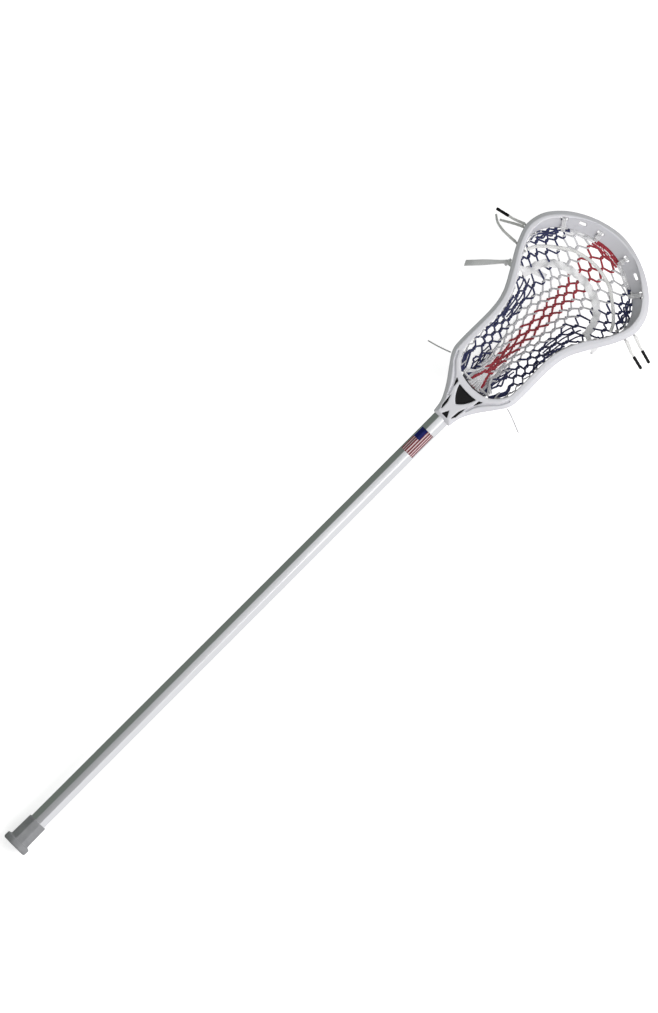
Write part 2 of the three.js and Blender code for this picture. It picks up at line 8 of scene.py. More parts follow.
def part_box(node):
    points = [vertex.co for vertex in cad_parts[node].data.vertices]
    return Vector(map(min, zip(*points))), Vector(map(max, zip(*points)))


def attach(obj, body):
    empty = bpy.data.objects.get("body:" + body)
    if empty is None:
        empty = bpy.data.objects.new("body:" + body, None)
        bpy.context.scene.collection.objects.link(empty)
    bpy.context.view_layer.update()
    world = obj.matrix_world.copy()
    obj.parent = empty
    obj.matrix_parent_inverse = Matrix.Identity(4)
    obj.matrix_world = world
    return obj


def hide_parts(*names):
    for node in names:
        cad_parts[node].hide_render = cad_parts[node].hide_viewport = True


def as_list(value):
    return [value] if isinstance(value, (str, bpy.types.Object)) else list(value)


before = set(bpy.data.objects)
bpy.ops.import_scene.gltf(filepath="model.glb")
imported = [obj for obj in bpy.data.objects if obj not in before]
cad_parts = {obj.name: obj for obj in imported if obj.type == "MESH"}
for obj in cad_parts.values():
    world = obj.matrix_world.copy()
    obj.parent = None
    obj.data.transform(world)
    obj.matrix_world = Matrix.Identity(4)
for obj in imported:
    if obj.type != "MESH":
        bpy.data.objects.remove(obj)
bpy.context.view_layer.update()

BODY = "root"

# ---- the stick's own frame ---------------------------------------------------------------------
# Shapes are drawn in the stick's frame, in millimetres: X from the butt face to the scoop, Z out of
# the open face of the head, the shaft's centre line at Y = Z = 0. STICK takes them to the row frame,
# where the stick lies tilted on its cap and pocket. The shaft's box gives the offset.

REST_SLOPE = 0.0953
TILT = math.atan(REST_SLOPE)
SHAFT_WIDTH, SHAFT_HEIGHT, SHAFT_CHAMFER, SHAFT_WALL = 21.5, 27.0, 7.0, 1.4
SHAFT_START, SHAFT_END = 3.3, 760.0
MM = 0.001

shaft_low = Vector(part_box("shaft")[0])
OFFSET = Vector((
    shaft_low.x - (SHAFT_START * math.cos(TILT) - SHAFT_HEIGHT / 2 * math.sin(TILT)) * MM,
    0,
    shaft_low.z - (SHAFT_START * math.sin(TILT) - SHAFT_HEIGHT / 2 * math.cos(TILT)) * MM,
))
STICK = Matrix.Translation(OFFSET) @ Matrix.Rotation(-TILT, 4, "Y") @ Matrix.Scale(MM, 4)


def to_row(points):
    """Stick-frame millimetres to row-frame metres, for an array of points."""
    matrix = np.array(STICK)
    return np.asarray(points, float) @ matrix[:3, :3].T + matrix[:3, 3]


def link(name, data):
    obj = bpy.data.objects.new(name, data)
    bpy.context.collection.objects.link(obj)
    return obj

# ---- camera ------------------------------------------------------------------------------------
# It looks straight at the open face, rolled so that the stick runs from lower left to upper right.

VIEW_CENTRE = (555.5, 20.5, 0.0)
VIEW_HEIGHT, VIEW_DISTANCE, SENSOR = 1215.6, 20000.0, 36.0


def make_camera():
    data = bpy.data.cameras.new("camera")
    data.sensor_width = SENSOR
    data.lens = SENSOR * VIEW_DISTANCE / VIEW_HEIGHT
    data.clip_end = 50
    camera = link("camera", data)
    turn = STICK.to_3x3().normalized()
    right, up, back = (turn @ Vector(way).normalized() for way in ((1, -1, 0), (1, 1, 0), (0, 0, 1)))
    place = Vector(to_row([VIEW_CENTRE])[0]) + back * VIEW_DISTANCE * MM
    camera.matrix_world = Matrix((*zip(right, up, back, place), (0, 0, 0, 1)))
    bpy.context.scene.camera = camera


make_camera()

# ---- curves and meshes -------------------------------------------------------------------------


def unit(vectors):
    """The vectors scaled to length 1."""
    vectors = np.asarray(vectors, float)
    return vectors / np.linalg.norm(vectors, axis=-1, keepdims=True)


def distances(path):
    """How far along the path each of its points is."""
    steps = np.linalg.norm(np.diff(np.asarray(path, float), axis=0), axis=1)
    return np.concatenate([[0], np.cumsum(steps)])


def mirrored(half):
    """A symmetric line from its +Y half, which ends at Y = 0."""
    return list(half) + [(x, -y, *z) for x, y, *z in half[-2::-1]]


def catmull(points, per_span):
    """A smooth curve through the points, with per_span samples to each span."""
    knots = np.asarray(points, float)
    ends = np.vstack([2 * knots[0] - knots[1], knots, 2 * knots[-1] - knots[-2]])
    t = np.arange(per_span)[:, None] / per_span
    spans = [0.5 * (2 * b + (c - a) * t + (2 * a - 5 * b + 4 * c - d) * t * t
                    + (3 * b - a - 3 * c + d) * t ** 3)
             for a, b, c, d in zip(ends, ends[1:], ends[2:], ends[3:])]
    return np.vstack([*spans, knots[-1]])


def value_at(knots, x):
    """The value at x of a smooth curve through (x, value) knots in increasing x."""
    xs, ys = np.array(knots, float).T
    x = np.clip(np.asarray(x, float), xs[0], xs[-1])
    i = np.clip(np.searchsorted(xs, x) - 1, 0, len(xs) - 2)
    before, after = np.maximum(i - 1, 0), np.minimum(i + 2, len(xs) - 1)
    span = xs[i + 1] - xs[i]
    start = (ys[i + 1] - ys[before]) / (xs[i + 1] - xs[before]) * span
    end = (ys[after] - ys[i]) / (xs[after] - xs[i]) * span
    t = (x - xs[i]) / span
    bend = start * t * (1 - t) ** 2 - end * t * t * (1 - t)
    return ys[i] + (ys[i + 1] - ys[i]) * t * t * (3 - 2 * t) + bend


def piece(name, points, faces, look, replaces=(), marks=None, uvs=None):
    """A mesh from stick-frame points, with one (u, v) for each point and a mark for each face."""
    slot, materials = looks[look]
    mesh = bpy.data.meshes.new(name)
    mesh.from_pydata(to_row(points).tolist(), [], [tuple(face) for face in faces])
    for material in materials:
        mesh.materials.append(material)
    if marks is not None:
        mesh.polygons.foreach_set("material_index", np.asarray(marks, np.int32))
    stick = mesh.attributes.new("stick", "FLOAT_VECTOR", "POINT")
    stick.data.foreach_set("vector", (np.asarray(points, float) * MM).ravel())
    if uvs is not None:
        layer = mesh.uv_layers.new(name="UVMap")
        loops = np.empty(len(mesh.loops), np.int32)
        mesh.loops.foreach_get("vertex_index", loops)
        layer.data.foreach_set("uv", np.asarray(uvs, float)[loops].ravel())
    mesh.shade_smooth()
    mesh.validate()
    obj = link(name, mesh)
    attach(obj, BODY)
    if replaces:
        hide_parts(*replaces)
    return obj


def quads(rings, size):
    """Faces between consecutive closed rings of equal size."""
    starts = [(r * size, i, (i + 1) % size) for r in range(rings - 1) for i in range(size)]
    return [(at + i, at + j, at + size + j, at + size + i) for at, i, j in starts]


def frames_along(path, up):
    """Two unit vectors across the path at each point: square to `up`, or without any twist."""
    tangents = unit(np.gradient(path, axis=0))
    if up is not None:
        normals = unit(np.cross(tangents, up))
        return normals, unit(np.cross(normals, tangents))
    across = np.cross(tangents[0], (0, 0, 1.0))
    if np.linalg.norm(across) < 1e-3:
        across = np.cross(tangents[0], (0, 1.0, 0))
    normals = []
    for tangent in tangents:
        across = unit(across - tangent * np.dot(across, tangent))
        normals.append(across)
    return np.array(normals), np.cross(tangents, normals)


def tube(path, radius, sides=8, flat=1.0, up=None, ridges=0, ridge=0.0, pitch=8.0):
    """Points, faces and uvs of a tube. flat squashes it across its width; ridges wind round it."""
    path = np.asarray(path, float)
    run, count = distances(path), len(path)
    radii = np.broadcast_to(np.asarray(radius, float), (count,))
    normal, binormal = frames_along(path, up)
    angles = np.arange(sides) / sides * 2 * np.pi
    reach = radii[:, None] * (1 + ridge * np.cos(ridges * angles - run[:, None] / pitch * 2 * np.pi))
    rings = (path[:, None] + (np.cos(angles) * reach)[:, :, None] * normal[:, None]
             + (np.sin(angles) * reach * flat)[:, :, None] * binormal[:, None])
    tips = path[[0, -1]] + unit(path[[0, -1]] - path[[1, -2]]) * radii[[0, -1], None] * 0.45
    faces, first = quads(count, sides), count * sides
    for i in range(sides):
        j = (i + 1) % sides
        faces += [(first, j, i), (first + 1, first - sides + i, first - sides + j)]
    uvs = np.column_stack([np.repeat(run, sides), np.tile(np.arange(sides) / sides, count)])
    return np.vstack([rings.reshape(-1, 3), tips]), faces, np.vstack([uvs, (0, 0.5), (run[-1], 0.5)])


def ribbon(path, half_width, across, sides=20):
    """Points, faces and uvs of a flat strap whose width lies along `across` at each point."""
    path = np.asarray(path, float)
    count, tangents = len(path), unit(np.gradient(path, axis=0))
    across = unit(across - tangents * (across * tangents).sum(1)[:, None])
    angles = np.arange(sides) / sides * 2 * np.pi
    wide = np.sign(np.cos(angles)) * np.abs(np.cos(angles)) ** 0.45
    deep = np.sign(np.sin(angles)) * np.abs(np.sin(angles)) ** 0.7 * STRAP_THICKNESS / 2
    reach = np.broadcast_to(half_width, (count,))[:, None] * wide
    points = (path[:, None] + across[:, None] * reach[:, :, None]
              + np.cross(tangents, across)[:, None] * deep[:, None])
    ends = [tuple(range(sides))[::-1], tuple(range((count - 1) * sides, count * sides))]
    uvs = np.column_stack([np.repeat(distances(path), sides), np.tile(wide * 0.25 + 0.5, count)])
    return points.reshape(-1, 3), quads(count, sides) + ends, uvs


class Bundle:
    """Gathers many small meshes into one piece."""

    def __init__(self):
        self.points, self.faces, self.uvs, self.marks, self.count = [], [], [], [], 0

    def add(self, made, mark=0):
        points, faces, uvs = made
        self.points.append(points)
        self.uvs.append(uvs)
        self.faces += [tuple(k + self.count for k in face) for face in faces]
        self.marks += [mark] * len(faces)
        self.count += len(points)
        return self

    def piece(self, name, look, *replaces):
        return piece(name, np.vstack(self.points), self.faces, look, replaces, self.marks,
                     np.vstack(self.uvs))

# ---- solids from distance fields ---------------------------------------------------------------
# Moulded pieces are built as signed distances (negative inside, in millimetres) on a grid, where
# edges can be rounded or chamfered as they meet, and then turned into one closed mesh.

PLAN, SIDE, END = (0, 1), (0, 2), (1, 2)


def polygon_distance(outline, px, py):
    """Signed distance from the points to a closed outline."""
    outline = np.asarray(outline, float)
    best = np.full(px.shape, np.inf)
    inside = np.zeros(px.shape, bool)
    for (ax, ay), (bx, by) in zip(outline, np.roll(outline, -1, axis=0)):
        dx, dy = bx - ax, by - ay
        if dx * dx + dy * dy < 1e-12:
            continue
        t = np.clip(((px - ax) * dx + (py - ay) * dy) / (dx * dx + dy * dy), 0, 1)
        best = np.minimum(best, (px - ax - t * dx) ** 2 + (py - ay - t * dy) ** 2)
        if dy != 0:
            inside ^= ((ay > py) != (by > py)) & (px < ax + (py - ay) * dx / dy)
    return np.sqrt(best) * np.where(inside, -1, 1)


def section_field(outline, axes, plane=PLAN, both_sides=False):
    """Distance to an outline drawn in the plane of two axes; both_sides repeats it at -Y."""
    a, b = np.meshgrid(axes[plane[0]], axes[plane[1]], indexing="ij")
    b = abs(b) if both_sides else b
    return np.expand_dims(polygon_distance(outline, a, b), 3 - sum(plane))


def line_distance(points, axes):
    """Distance in plan from a smooth line through the points, on both sides of the stick."""
    px, py = np.meshgrid(axes[0], np.abs(axes[1]), indexing="ij")
    best = np.full(px.shape, np.inf)
    line = catmull(points, 4)
    for (ax, ay), (bx, by) in zip(line, line[1:]):
        dx, dy = bx - ax, by - ay
        t = np.clip(((px - ax) * dx + (py - ay) * dy) / (dx * dx + dy * dy), 0, 1)
        best = np.minimum(best, np.hypot(px - ax - t * dx, py - ay - t * dy))
    return best[:, :, None]


def both(a, b, radius):
    """Where two solids meet, with the outer edge rounded."""
    u, v = np.maximum(a + radius, 0), np.maximum(b + radius, 0)
    return np.minimum(np.maximum(a, b), -radius) + np.hypot(u, v)


def either(a, b, radius):
    """Two solids joined, with a fillet between them."""
    return -both(-a, -b, radius)


def bevelled(a, b, size):
    """Where two solids meet, with a flat bevel that takes size off each face."""
    return np.maximum(np.maximum(a, b), (a + b + size) * math.sqrt(0.5))


def surface(field, axes):
    """Vertices and outward quads of the zero surface of a distance field (naive surface nets)."""
    cells = np.array(field.shape) - 1
    stride = np.array([cells[1] * cells[2], cells[2], 1])
    size = int(np.prod(cells))
    sums, count = [np.zeros(size) for _ in range(3)], np.zeros(size)
    edges = []
    for axis in range(3):
        low, high = [slice(None)] * 3, [slice(None)] * 3
        low[axis], high[axis] = slice(0, -1), slice(1, None)
        a, b = field[tuple(low)], field[tuple(high)]
        found = np.argwhere((a < 0) != (b < 0))
        va, vb = a[tuple(found.T)], b[tuple(found.T)]
        places = found.astype(float)
        places[:, axis] += va / (va - vb)
        u, v = (axis + 1) % 3, (axis + 2) % 3
        keep = (found[:, [u, v]] > 0).all(1) & (found[:, [u, v]] < cells[[u, v]]).all(1)
        found, places, va = found[keep], places[keep], va[keep]
        around = []
        for du, dv in ((1, 1), (0, 1), (0, 0), (1, 0)):
            cell = found.copy()
            cell[:, u] -= du
            cell[:, v] -= dv
            around.append(cell @ stride)
            count += np.bincount(around[-1], minlength=size)
            for k in range(3):
                sums[k] += np.bincount(around[-1], weights=places[:, k], minlength=size)
        around = np.column_stack(around)
        around[va >= 0] = around[va >= 0][:, ::-1]
        edges.append(around)
    used = np.flatnonzero(count)
    number = np.full(size, -1)
    number[used] = np.arange(len(used))
    points = [values[0] + total[used] / count[used] * (values[1] - values[0])
              for values, total in zip(axes, sums)]
    return np.column_stack(points), number[np.vstack(edges)]


def field_piece(name, low, high, step, field, look, *replaces):
    """The piece that field(axes, x, y, z) describes, on a grid from low to high."""
    axes = [np.arange(a, b + step, step) for a, b in zip(low, high)]
    x, y, z = axes[0][:, None, None], axes[1][None, :, None], axes[2][None, None, :]
    return piece(name, *surface(field(axes, x, y, z), axes), look, replaces)

# ---- materials ---------------------------------------------------------------------------------


class Nodes:
    """A short way to write the nodes of a material or a world."""

    def __init__(self, holder):
        holder.use_nodes = True
        self.tree = holder.node_tree

    def node(self, kind, **settings):
        made = self.tree.nodes.new("ShaderNode" + kind)
        for key, value in settings.items():
            if key in made.inputs:
                self.feed(made.inputs[key], value)
            else:
                setattr(made, key, value)
        return made

    def feed(self, socket, value):
        if isinstance(value, bpy.types.NodeSocket):
            self.tree.links.new(value, socket)
        else:
            socket.default_value = (*value, 1) if socket.type == "RGBA" else value

    def maths(self, operation, *values):
        made = self.node("Math", operation=operation)
        for socket, value in zip(made.inputs, values):
            self.feed(socket, value)
        return made.outputs[0]

    def remap(self, value, low, high, to_low=0.0, to_high=1.0, **settings):
        ends = {"From Min": low, "From Max": high, "To Min": to_low, "To Max": to_high}
        return self.node("MapRange", Value=value, **ends, **settings).outputs[0]

    def noise(self, scale, detail=3.0, roughness=0.55, distortion=0.0, stretch=(1, 1, 1)):
        """Noise over the stick-frame position, in metres, stretched."""
        held = self.node("Attribute", attribute_name="stick").outputs["Vector"]
        place = self.node("Mapping", Vector=held, Scale=stretch).outputs[0]
        made = self.node("TexNoise", Vector=place, Scale=scale, Detail=detail,
                         Roughness=roughness, Distortion=distortion)
        return made.outputs["Fac"]

    def mix(self, factor, a, b, blend="MIX"):
        made = self.node("Mix", data_type="RGBA", blend_type=blend)
        for k, value in ((0, factor), (6, a), (7, b)):
            self.feed(made.inputs[k], value)
        return made.outputs[2]


class Look(Nodes):
    """A material around one Principled shader, whose constant sockets are given by name."""

    def __init__(self, name, **sockets):
        self.material = bpy.data.materials.new(name)
        super().__init__(self.material)
        self.shader = self.tree.nodes["Principled BSDF"]
        for socket, value in sockets.items():
            self.feed(self.shader.inputs[socket.replace("_", " ")], value)

    def finish(self, colour, rough=None, height=None, depth=0.0, strength=1.0):
        self.feed(self.shader.inputs["Base Color"], colour)
        if rough is not None:
            self.feed(self.shader.inputs["Roughness"], rough)
        bump = self.node("Bump", Height=height, Distance=depth, Strength=strength)
        self.feed(self.shader.inputs["Normal"], bump.outputs[0])
        return self.material


def shaft_metal():
    n = Look("shaft_metal", Metallic=1.0)
    grain = n.noise(1.0, 4, stretch=(3, 900, 900))
    smear = n.noise(1.0, stretch=(6, 40, 40))
    scratch = n.noise(1.0, 2, 0.7, 0.4, (25, 1400, 1400))
    colour = n.mix(smear, (0.74, 0.75, 0.77), (0.84, 0.85, 0.87))
    colour = n.mix(n.remap(scratch, 0.70, 0.76, 0, 0.35), colour, (0.95, 0.95, 0.96))
    rough = n.maths("MULTIPLY_ADD", grain, 0.12, n.maths("MULTIPLY_ADD", smear, 0.10, 0.20))
    return n.finish(colour, rough, grain, 0.00002, 0.35)


def cap_rubber():
    n = Look("cap_rubber")
    dirt = n.noise(60, 5, 0.65)
    colour = n.mix(n.remap(dirt, 0.35, 0.75), (0.33, 0.335, 0.345), (0.25, 0.255, 0.265))
    return n.finish(colour, n.maths("MULTIPLY_ADD", dirt, 0.25, 0.50), n.noise(1400, 2), 0.00012, 0.5)


def head_plastic():
    n = Look("head_plastic", Subsurface_Weight=0.08, Subsurface_Scale=0.002, Coat_Weight=0.12,
             Coat_Roughness=0.18, Subsurface_Radius=(1.0, 0.9, 0.8))
    flow = n.noise(30, 4, 0.6)
    scuffs = n.remap(n.noise(1.0, 5, 0.7, 0.6, (60, 260, 260)), 0.66, 0.74, 0, 0.22)
    colour = n.mix(flow, (0.70, 0.70, 0.73), (0.66, 0.66, 0.695))
    colour = n.mix(scuffs, colour, (0.50, 0.50, 0.54))
    rough = n.maths("ADD", n.maths("MULTIPLY_ADD", flow, 0.10, 0.30), scuffs)
    return n.finish(colour, rough, n.noise(900, 2, 0.5), 0.00006, 0.35)


def black_plastic(name):
    n = Look(name, Specular_IOR_Level=0.15)
    wear = n.noise(140, 4, 0.7)
    colour = n.mix(wear, (0.0025, 0.0025, 0.003), (0.008, 0.008, 0.009))
    return n.finish(colour, n.maths("MULTIPLY_ADD", wear, 0.22, 0.38), n.noise(1800, 2), 0.00008, 0.5)


def pad_foam():
    n = Look("pad_foam")
    held = n.node("Attribute", attribute_name="stick").outputs["Vector"]
    cells = n.node("TexVoronoi", Vector=held, Scale=1100.0).outputs["Distance"]
    return n.finish(n.mix(cells, (0.02, 0.02, 0.022), (0.07, 0.07, 0.075)), 0.85, cells, 0.0003, 0.8)


def screw_steel():
    n = Look("screw_steel", Metallic=1.0)
    turned = n.noise(1.0, stretch=(300, 300, 2500))
    colour = n.mix(turned, (0.52, 0.53, 0.55), (0.66, 0.67, 0.69))
    return n.finish(colour, n.maths("MULTIPLY_ADD", turned, 0.2, 0.22), turned, 0.00003, 0.4)


def yarn(name, colour, dark, pitch=420, strands=3, depth=0.00022):
    """Braided cord: two families of strands wind round it in opposite ways, over its uv map."""
    n = Look(name, Roughness=0.8, Sheen_Weight=0.25, Sheen_Roughness=0.5)
    split = n.node("SeparateXYZ", Vector=n.node("UVMap").outputs[0])
    along = n.maths("MULTIPLY", split.outputs[0], pitch * MM * 2 * math.pi)
    turns = n.maths("MULTIPLY", split.outputs[1], strands * 2 * math.pi)
    waves = [n.maths("SINE", n.maths(way, along, turns)) for way in ("ADD", "SUBTRACT")]
    height = n.maths("MULTIPLY_ADD", n.maths("MAXIMUM", *waves), 0.5, 0.5)
    # The low parts between the strands take the darker colour: painted shade in the braid's crevices.
    shade = n.mix(n.remap(height, 0.45, 0.95), dark, colour)
    tone = n.maths("MULTIPLY_ADD", n.noise(90), 0.35, 0.80)
    grey = n.node("CombineColor", Red=tone, Green=tone, Blue=tone).outputs[0]
    rise = n.maths("MULTIPLY_ADD", n.noise(3500, 3, 0.7), 0.35, height)
    return n.finish(n.mix(1.0, shade, grey, "MULTIPLY"), None, rise, depth, 0.8)


def decal_film(block_start=20.8, block_edge=0.5, stripes=13.0):
    """Lengthwise stripes beside a plain block at the head end: a generic striped film."""
    n = Look("decal_film", Specular_IOR_Level=0.15)
    along, across, _ = n.node("SeparateXYZ", Vector=n.node("UVMap").outputs[0]).outputs
    stripe = n.maths("MODULO", n.maths("FLOOR", n.maths("MULTIPLY", across, stripes)), 2.0)
    block = n.maths("MULTIPLY", n.maths("GREATER_THAN", along, block_start),
                    n.maths("GREATER_THAN", across, block_edge))
    wear = n.noise(420, 4, 0.7)
    colour = n.mix(stripe, (0.15, 0.003, 0.008), (0.66, 0.52, 0.54))
    colour = n.mix(block, colour, (0.010, 0.014, 0.120))
    colour = n.mix(n.remap(wear, 0.64, 0.70, 0, 0.25), colour, (0.40, 0.40, 0.42))
    return n.finish(colour, n.maths("MULTIPLY_ADD", wear, 0.2, 0.3), wear, 0.00003, 0.3)


# Each yarn's second colour is painted shade for the crevices between its strands.
red = yarn("net_red", (0.55, 0.042, 0.066), (0.19, 0.010, 0.020))
white = yarn("net_white", (0.79, 0.79, 0.81), (0.50, 0.50, 0.52))
# A brighter copy of the white yarn: painted light that lifts the net's tail and the cords at the throat
# and scoop where they lie in shade.
brightened_white = yarn("white_brightened_for_shade", (0.93, 0.93, 0.94), (0.70, 0.70, 0.71))
navy = yarn("net_navy", (0.023, 0.032, 0.140), (0.007, 0.009, 0.040))
webbing = yarn("webbing_white", (0.95, 0.95, 0.95), (0.74, 0.74, 0.75), 330, 10, 0.00018)

# Each look is a slot with the materials that its pieces carry.
looks = {
    "shaft": ("shaft_metal", [shaft_metal()]),
    "cap": ("cap_rubber", [cap_rubber()]),
    "head": ("head_plastic", [head_plastic()]),
    "black": ("badge_plastic", [black_plastic("badge_plastic")]),
    "tip": ("tip_plastic", [black_plastic("tip_plastic")]),
    "foam": ("pad_foam", [pad_foam()]),
    "steel": ("screw_steel", [screw_steel()]),
    "decal": ("decal_film", [decal_film()]),
    "net": ("netting", [red, white, navy]),
    # The tail and the cords take the brighter copy of the white yarn, as painted light against their
    # shade.
    "net_end": ("netting", [red, brightened_white, navy]),
    "cord": ("string", [brightened_white]),
    "string": ("string", [yarn("string_white", (0.74, 0.74, 0.75), (0.44, 0.44, 0.46), 380, 4)]),
    "lace": ("lace", [yarn("lace_white", (0.90, 0.90, 0.88), (0.62, 0.62, 0.61), 300, 6)]),
    "webbing": ("webbing", [webbing]),
}

# ---- loose ends --------------------------------------------------------------------------------
# Cords that leave the head, each at its own length, on the routes that their CAD solids follow.

LACE_RADIUS, STRING_RADIUS, GAP = 1.5, 0.9, 0.3
LACE_ENDS = {
    "lace_end_left_curl": [(939, 87.5, -35), (938.5, 97, -37), (938.5, 108, -43), (941, 119, -52),
                           (946.5, 127, -63)],
    "lace_end_left_bare": [(958.5, 93.5, -37), (955, 101, -41), (950, 110, -48), (945, 119, -57)],
    "lace_end_left_tipped": [(962, 94.5, -32), (959.5, 101, -34.5), (957, 108, -37.5),
                             (955.5, 114.5, -39.5)],
    "lace_end_right_upper": [(949, -92, -34), (946.3, -98.5, -37), (943.5, -104.6, -40),
                             (942, -111, -42)],
    "lace_end_right_lower": [(960.5, -95, -32), (958.3, -101, -35), (956, -106.8, -38),
                             (954.3, -113, -40)],
}
TIPS = {
    "lace_end_left_tipped": "lace_tip_left",
    "lace_end_right_upper": "lace_tip_right_upper",
    "lace_end_right_lower": "lace_tip_right_lower",
}
TIP_PROFILE = [(0, 1.60), (0.1, 1.80), (0.5, 1.94), (5.2, 1.94), (5.6, 1.72), (6.4, 1.72), (6.8, 1.94),
               (11.2, 1.94), (11.6, 1.72), (12.4, 1.72), (12.8, 1.94), (16.9, 1.94), (17.5, 1.75),
               (17.8, 1.40)]
TIP_REACH = 17.0
STRING_ENDS = {
    "string_end_left": [(790, 48.3, -30), (787.5, 55, -32), (784.5, 64, -37), (782, 73, -44),
                        (781, 77, -50)],
    "string_end_right": [(790, -48.3, -30), (788, -55, -31), (785, -63.5, -36), (781.5, -72, -43),
                         (779.5, -77.5, -49)],
    "string_end_throat": [(770, 3, -33.5), (762, 4, -38), (752, 4, -41.5), (743, 3, -43), (735, 2, -42)],
}
STRAP_END = [(915.5, 77, -40), (906, 86, -44), (894.5, 97, -51), (885, 106, -60), (879, 112, -69)]
STRAP_HALF_WIDTH, STRAP_THICKNESS = 3.5, 1.2
STRAP_END_SHARE = [(0, 0.75), (0.15, 0.72), (0.5, 1.12), (1, 1.2)]


def twine(path, radius=STRING_RADIUS, sides=10):
    """Thin string of three twisted strands."""
    return tube(path, radius, sides, ridges=3, ridge=0.06, pitch=5.0)


def flat_lace(path, radius, flat, sides=14, up=None):
    return tube(path, radius, sides, flat, up, ridges=4, ridge=0.04, pitch=7.0)


def declare_cord(obj, path, tips=()):
    to_row([path[0]])[0].tolist()
    distances(path)[-1] * MM
    to_row(path).tolist()
    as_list(tips)


def make_lace_end(name, route):
    """A flat lace that narrows from the wall, with a moulded tip on some."""
    path, tips = catmull(route, 10), []
    wide = LACE_RADIUS * np.linspace(1.75 if route[0][1] < 0 else 1.25, 0.98, len(path))
    if name in TIPS:
        along = unit(np.subtract(route[-1], route[-2]))
        line = [path[-1] + along * (GAP + distance) for distance, _ in TIP_PROFILE]
        tip = Bundle().add(tube(line, [radius for _, radius in TIP_PROFILE], 20))
        tips.append(tip.piece(f"{TIPS[name]}_sleeve", "tip", TIPS[name]))
        path = np.vstack([path, path[-1] + np.outer(np.linspace(0, TIP_REACH, 8)[1:], along)])
        wide = np.append(wide, [wide[-1]] * 7)
    obj = Bundle().add(flat_lace(path, wide, 0.5, 20)).piece(f"{name}_braid", "lace", name)
    declare_cord(obj, path, tips)


def make_string_end(name, route):
    path = catmull(route, 10)
    obj = Bundle().add(twine(path, STRING_RADIUS * 0.96, 12)).piece(f"{name}_cord", "string", name)
    declare_cord(obj, path)


def make_strap_end():
    path = catmull(STRAP_END, 10)
    across = np.cross(np.gradient(path, axis=0), (0.25, 0.2, 1.0))
    share = np.interp(np.linspace(0, 1, len(path)), *zip(*STRAP_END_SHARE))
    band = ribbon(path, STRAP_HALF_WIDTH * share, across)
    obj = Bundle().add(band).piece("strap_end_band", "webbing", "strap_end")
    declare_cord(obj, path)


for end_name, end_route in LACE_ENDS.items():
    make_lace_end(end_name, end_route)
for end_name, end_route in STRING_ENDS.items():
    make_string_end(end_name, end_route)
make_strap_end()

# ---- head --------------------------------------------------------------------------------------

HEAD_START = 725.0
HEAD_OUTER = [
    (HEAD_START, 13), (742, 16.3), (760, 25.8), (778, 38.6), (794, 48.6), (812, 50.8), (860, 50.8),
    (886, 55.5), (910, 67.8), (935, 82.5), (957, 91.5), (972, 92.3), (990, 86), (1008, 70),
    (1022, 48.5), (1031, 25), (1035, 0),
]
SHARED_INNER = [
    (777, 0), (778.5, 12), (781.6, 21.6), (789, 30.6), (798, 37), (812, 40), (862, 39.8),
    (886, 44), (910, 54.8), (934, 71),
]
RIM_INNER = SHARED_INNER + [
    (957, 81), (972, 81.8), (986, 77.5), (1003, 63), (1018, 43), (1027.5, 20), (1031, 0),
]
SCOOP_INNER = SHARED_INNER + [
    (952, 78.5), (966, 77.5), (980, 70), (993, 56.5), (1003, 38), (1009.5, 19), (1012, 0),
]
SCOOP_LOWER_Z, SCOOP_UPPER_Z = -33.0, -15.0
FACE_EDGE = [
    (HEAD_START - 2, 17.8), (760, 17.8), (780, 17.8), (792, 17.8), (800, 15.6), (812, 11.4), (830, 5.4),
    (848, 0.8), (862, -1), (880, -1.2), (915, 0.4), (950, 1.8), (975, 1), (1000, -3.2),
    (1014, -7.6), (1024, -12.8), (1031, -18.4), (1036, -24.5),
]
BACK_EDGE = [
    (HEAD_START - 2, -16), (732, -16.4), (744, -17.8), (756, -21.8), (768, -28.4), (780, -35.6),
    (792, -39.8), (805, -43), (829, -48.2), (853, -50.6), (877, -51.2), (902, -50), (926, -46.6),
    (951, -41.6), (975, -36.8), (1027, -32.8), (1036, -32),
]
FACE_RAIL_LOWER = [
    (781, 4.5), (804, -0.6), (830, -6.4), (850, -11), (866, -12.8), (915, -12.8), (964, -13),
]
BACK_RAIL_UPPER = [
    (784, -17.5), (792, -22), (805, -26.6), (829, -33.2), (853, -37.6), (877, -39.6), (902, -37.4),
    (920, -32.5), (938, -27), (958, -21.5),
]
STRUTS = [
    [(804, 3), (831, -3), (868, -42), (850, -42)],
    [(880, -42), (892.5, -42), (934, -10), (913, -10)],
]
STRUT_INSET, STRUT_THICKNESS = 2.5, 6.0
FACE_BEVEL = 4.6
STRING_HOLES, STRING_HOLE_START, STRING_HOLE_PITCH, STRING_HOLE_RADIUS = 15, 788.0, 12.2, 1.7
# Each slot in the scoop: its centre's X and Y, and the angle of its length.
SCOOP_SLOTS = [
    (1000, 65, 128), (1011.5, 45, 114), (1018.5, 22, 101),
    (1018.5, -22, 79), (1011.5, -45, 66), (1000, -65, 52),
]
SLOT_LENGTH, SLOT_WIDTH, SLOT_NEAR = 8.4, 3.4, 9.0
SCREW_X, SCREW_HEAD_RADIUS = 744.0, 3.8
THROAT_TOP, BADGE_DEPTH = 17.8, 2.0
# Outlines in plan of the recesses in the throat, and its window and seam.
NOTCH = [(730, -4.6), (739, 0), (730, 4.6)]
SLIT = [(733, 8), (745, 8.8), (756, 12.8), (738, 11)]
NICK = [(762, 16.4), (771.5, 17.2), (774.5, 22.4)]
HOLLOW = [(762, 8), (768, 22), (755, 15), (750, 13.8)]
WINDOW = [(740, -5.5), (752, -5.5), (750, 5), (740, 5)]
SEAM = [(752, 14.5), (764, 18.5), (775, 26.5), (786, 37.5), (797, 43)]
FINE = 0.85


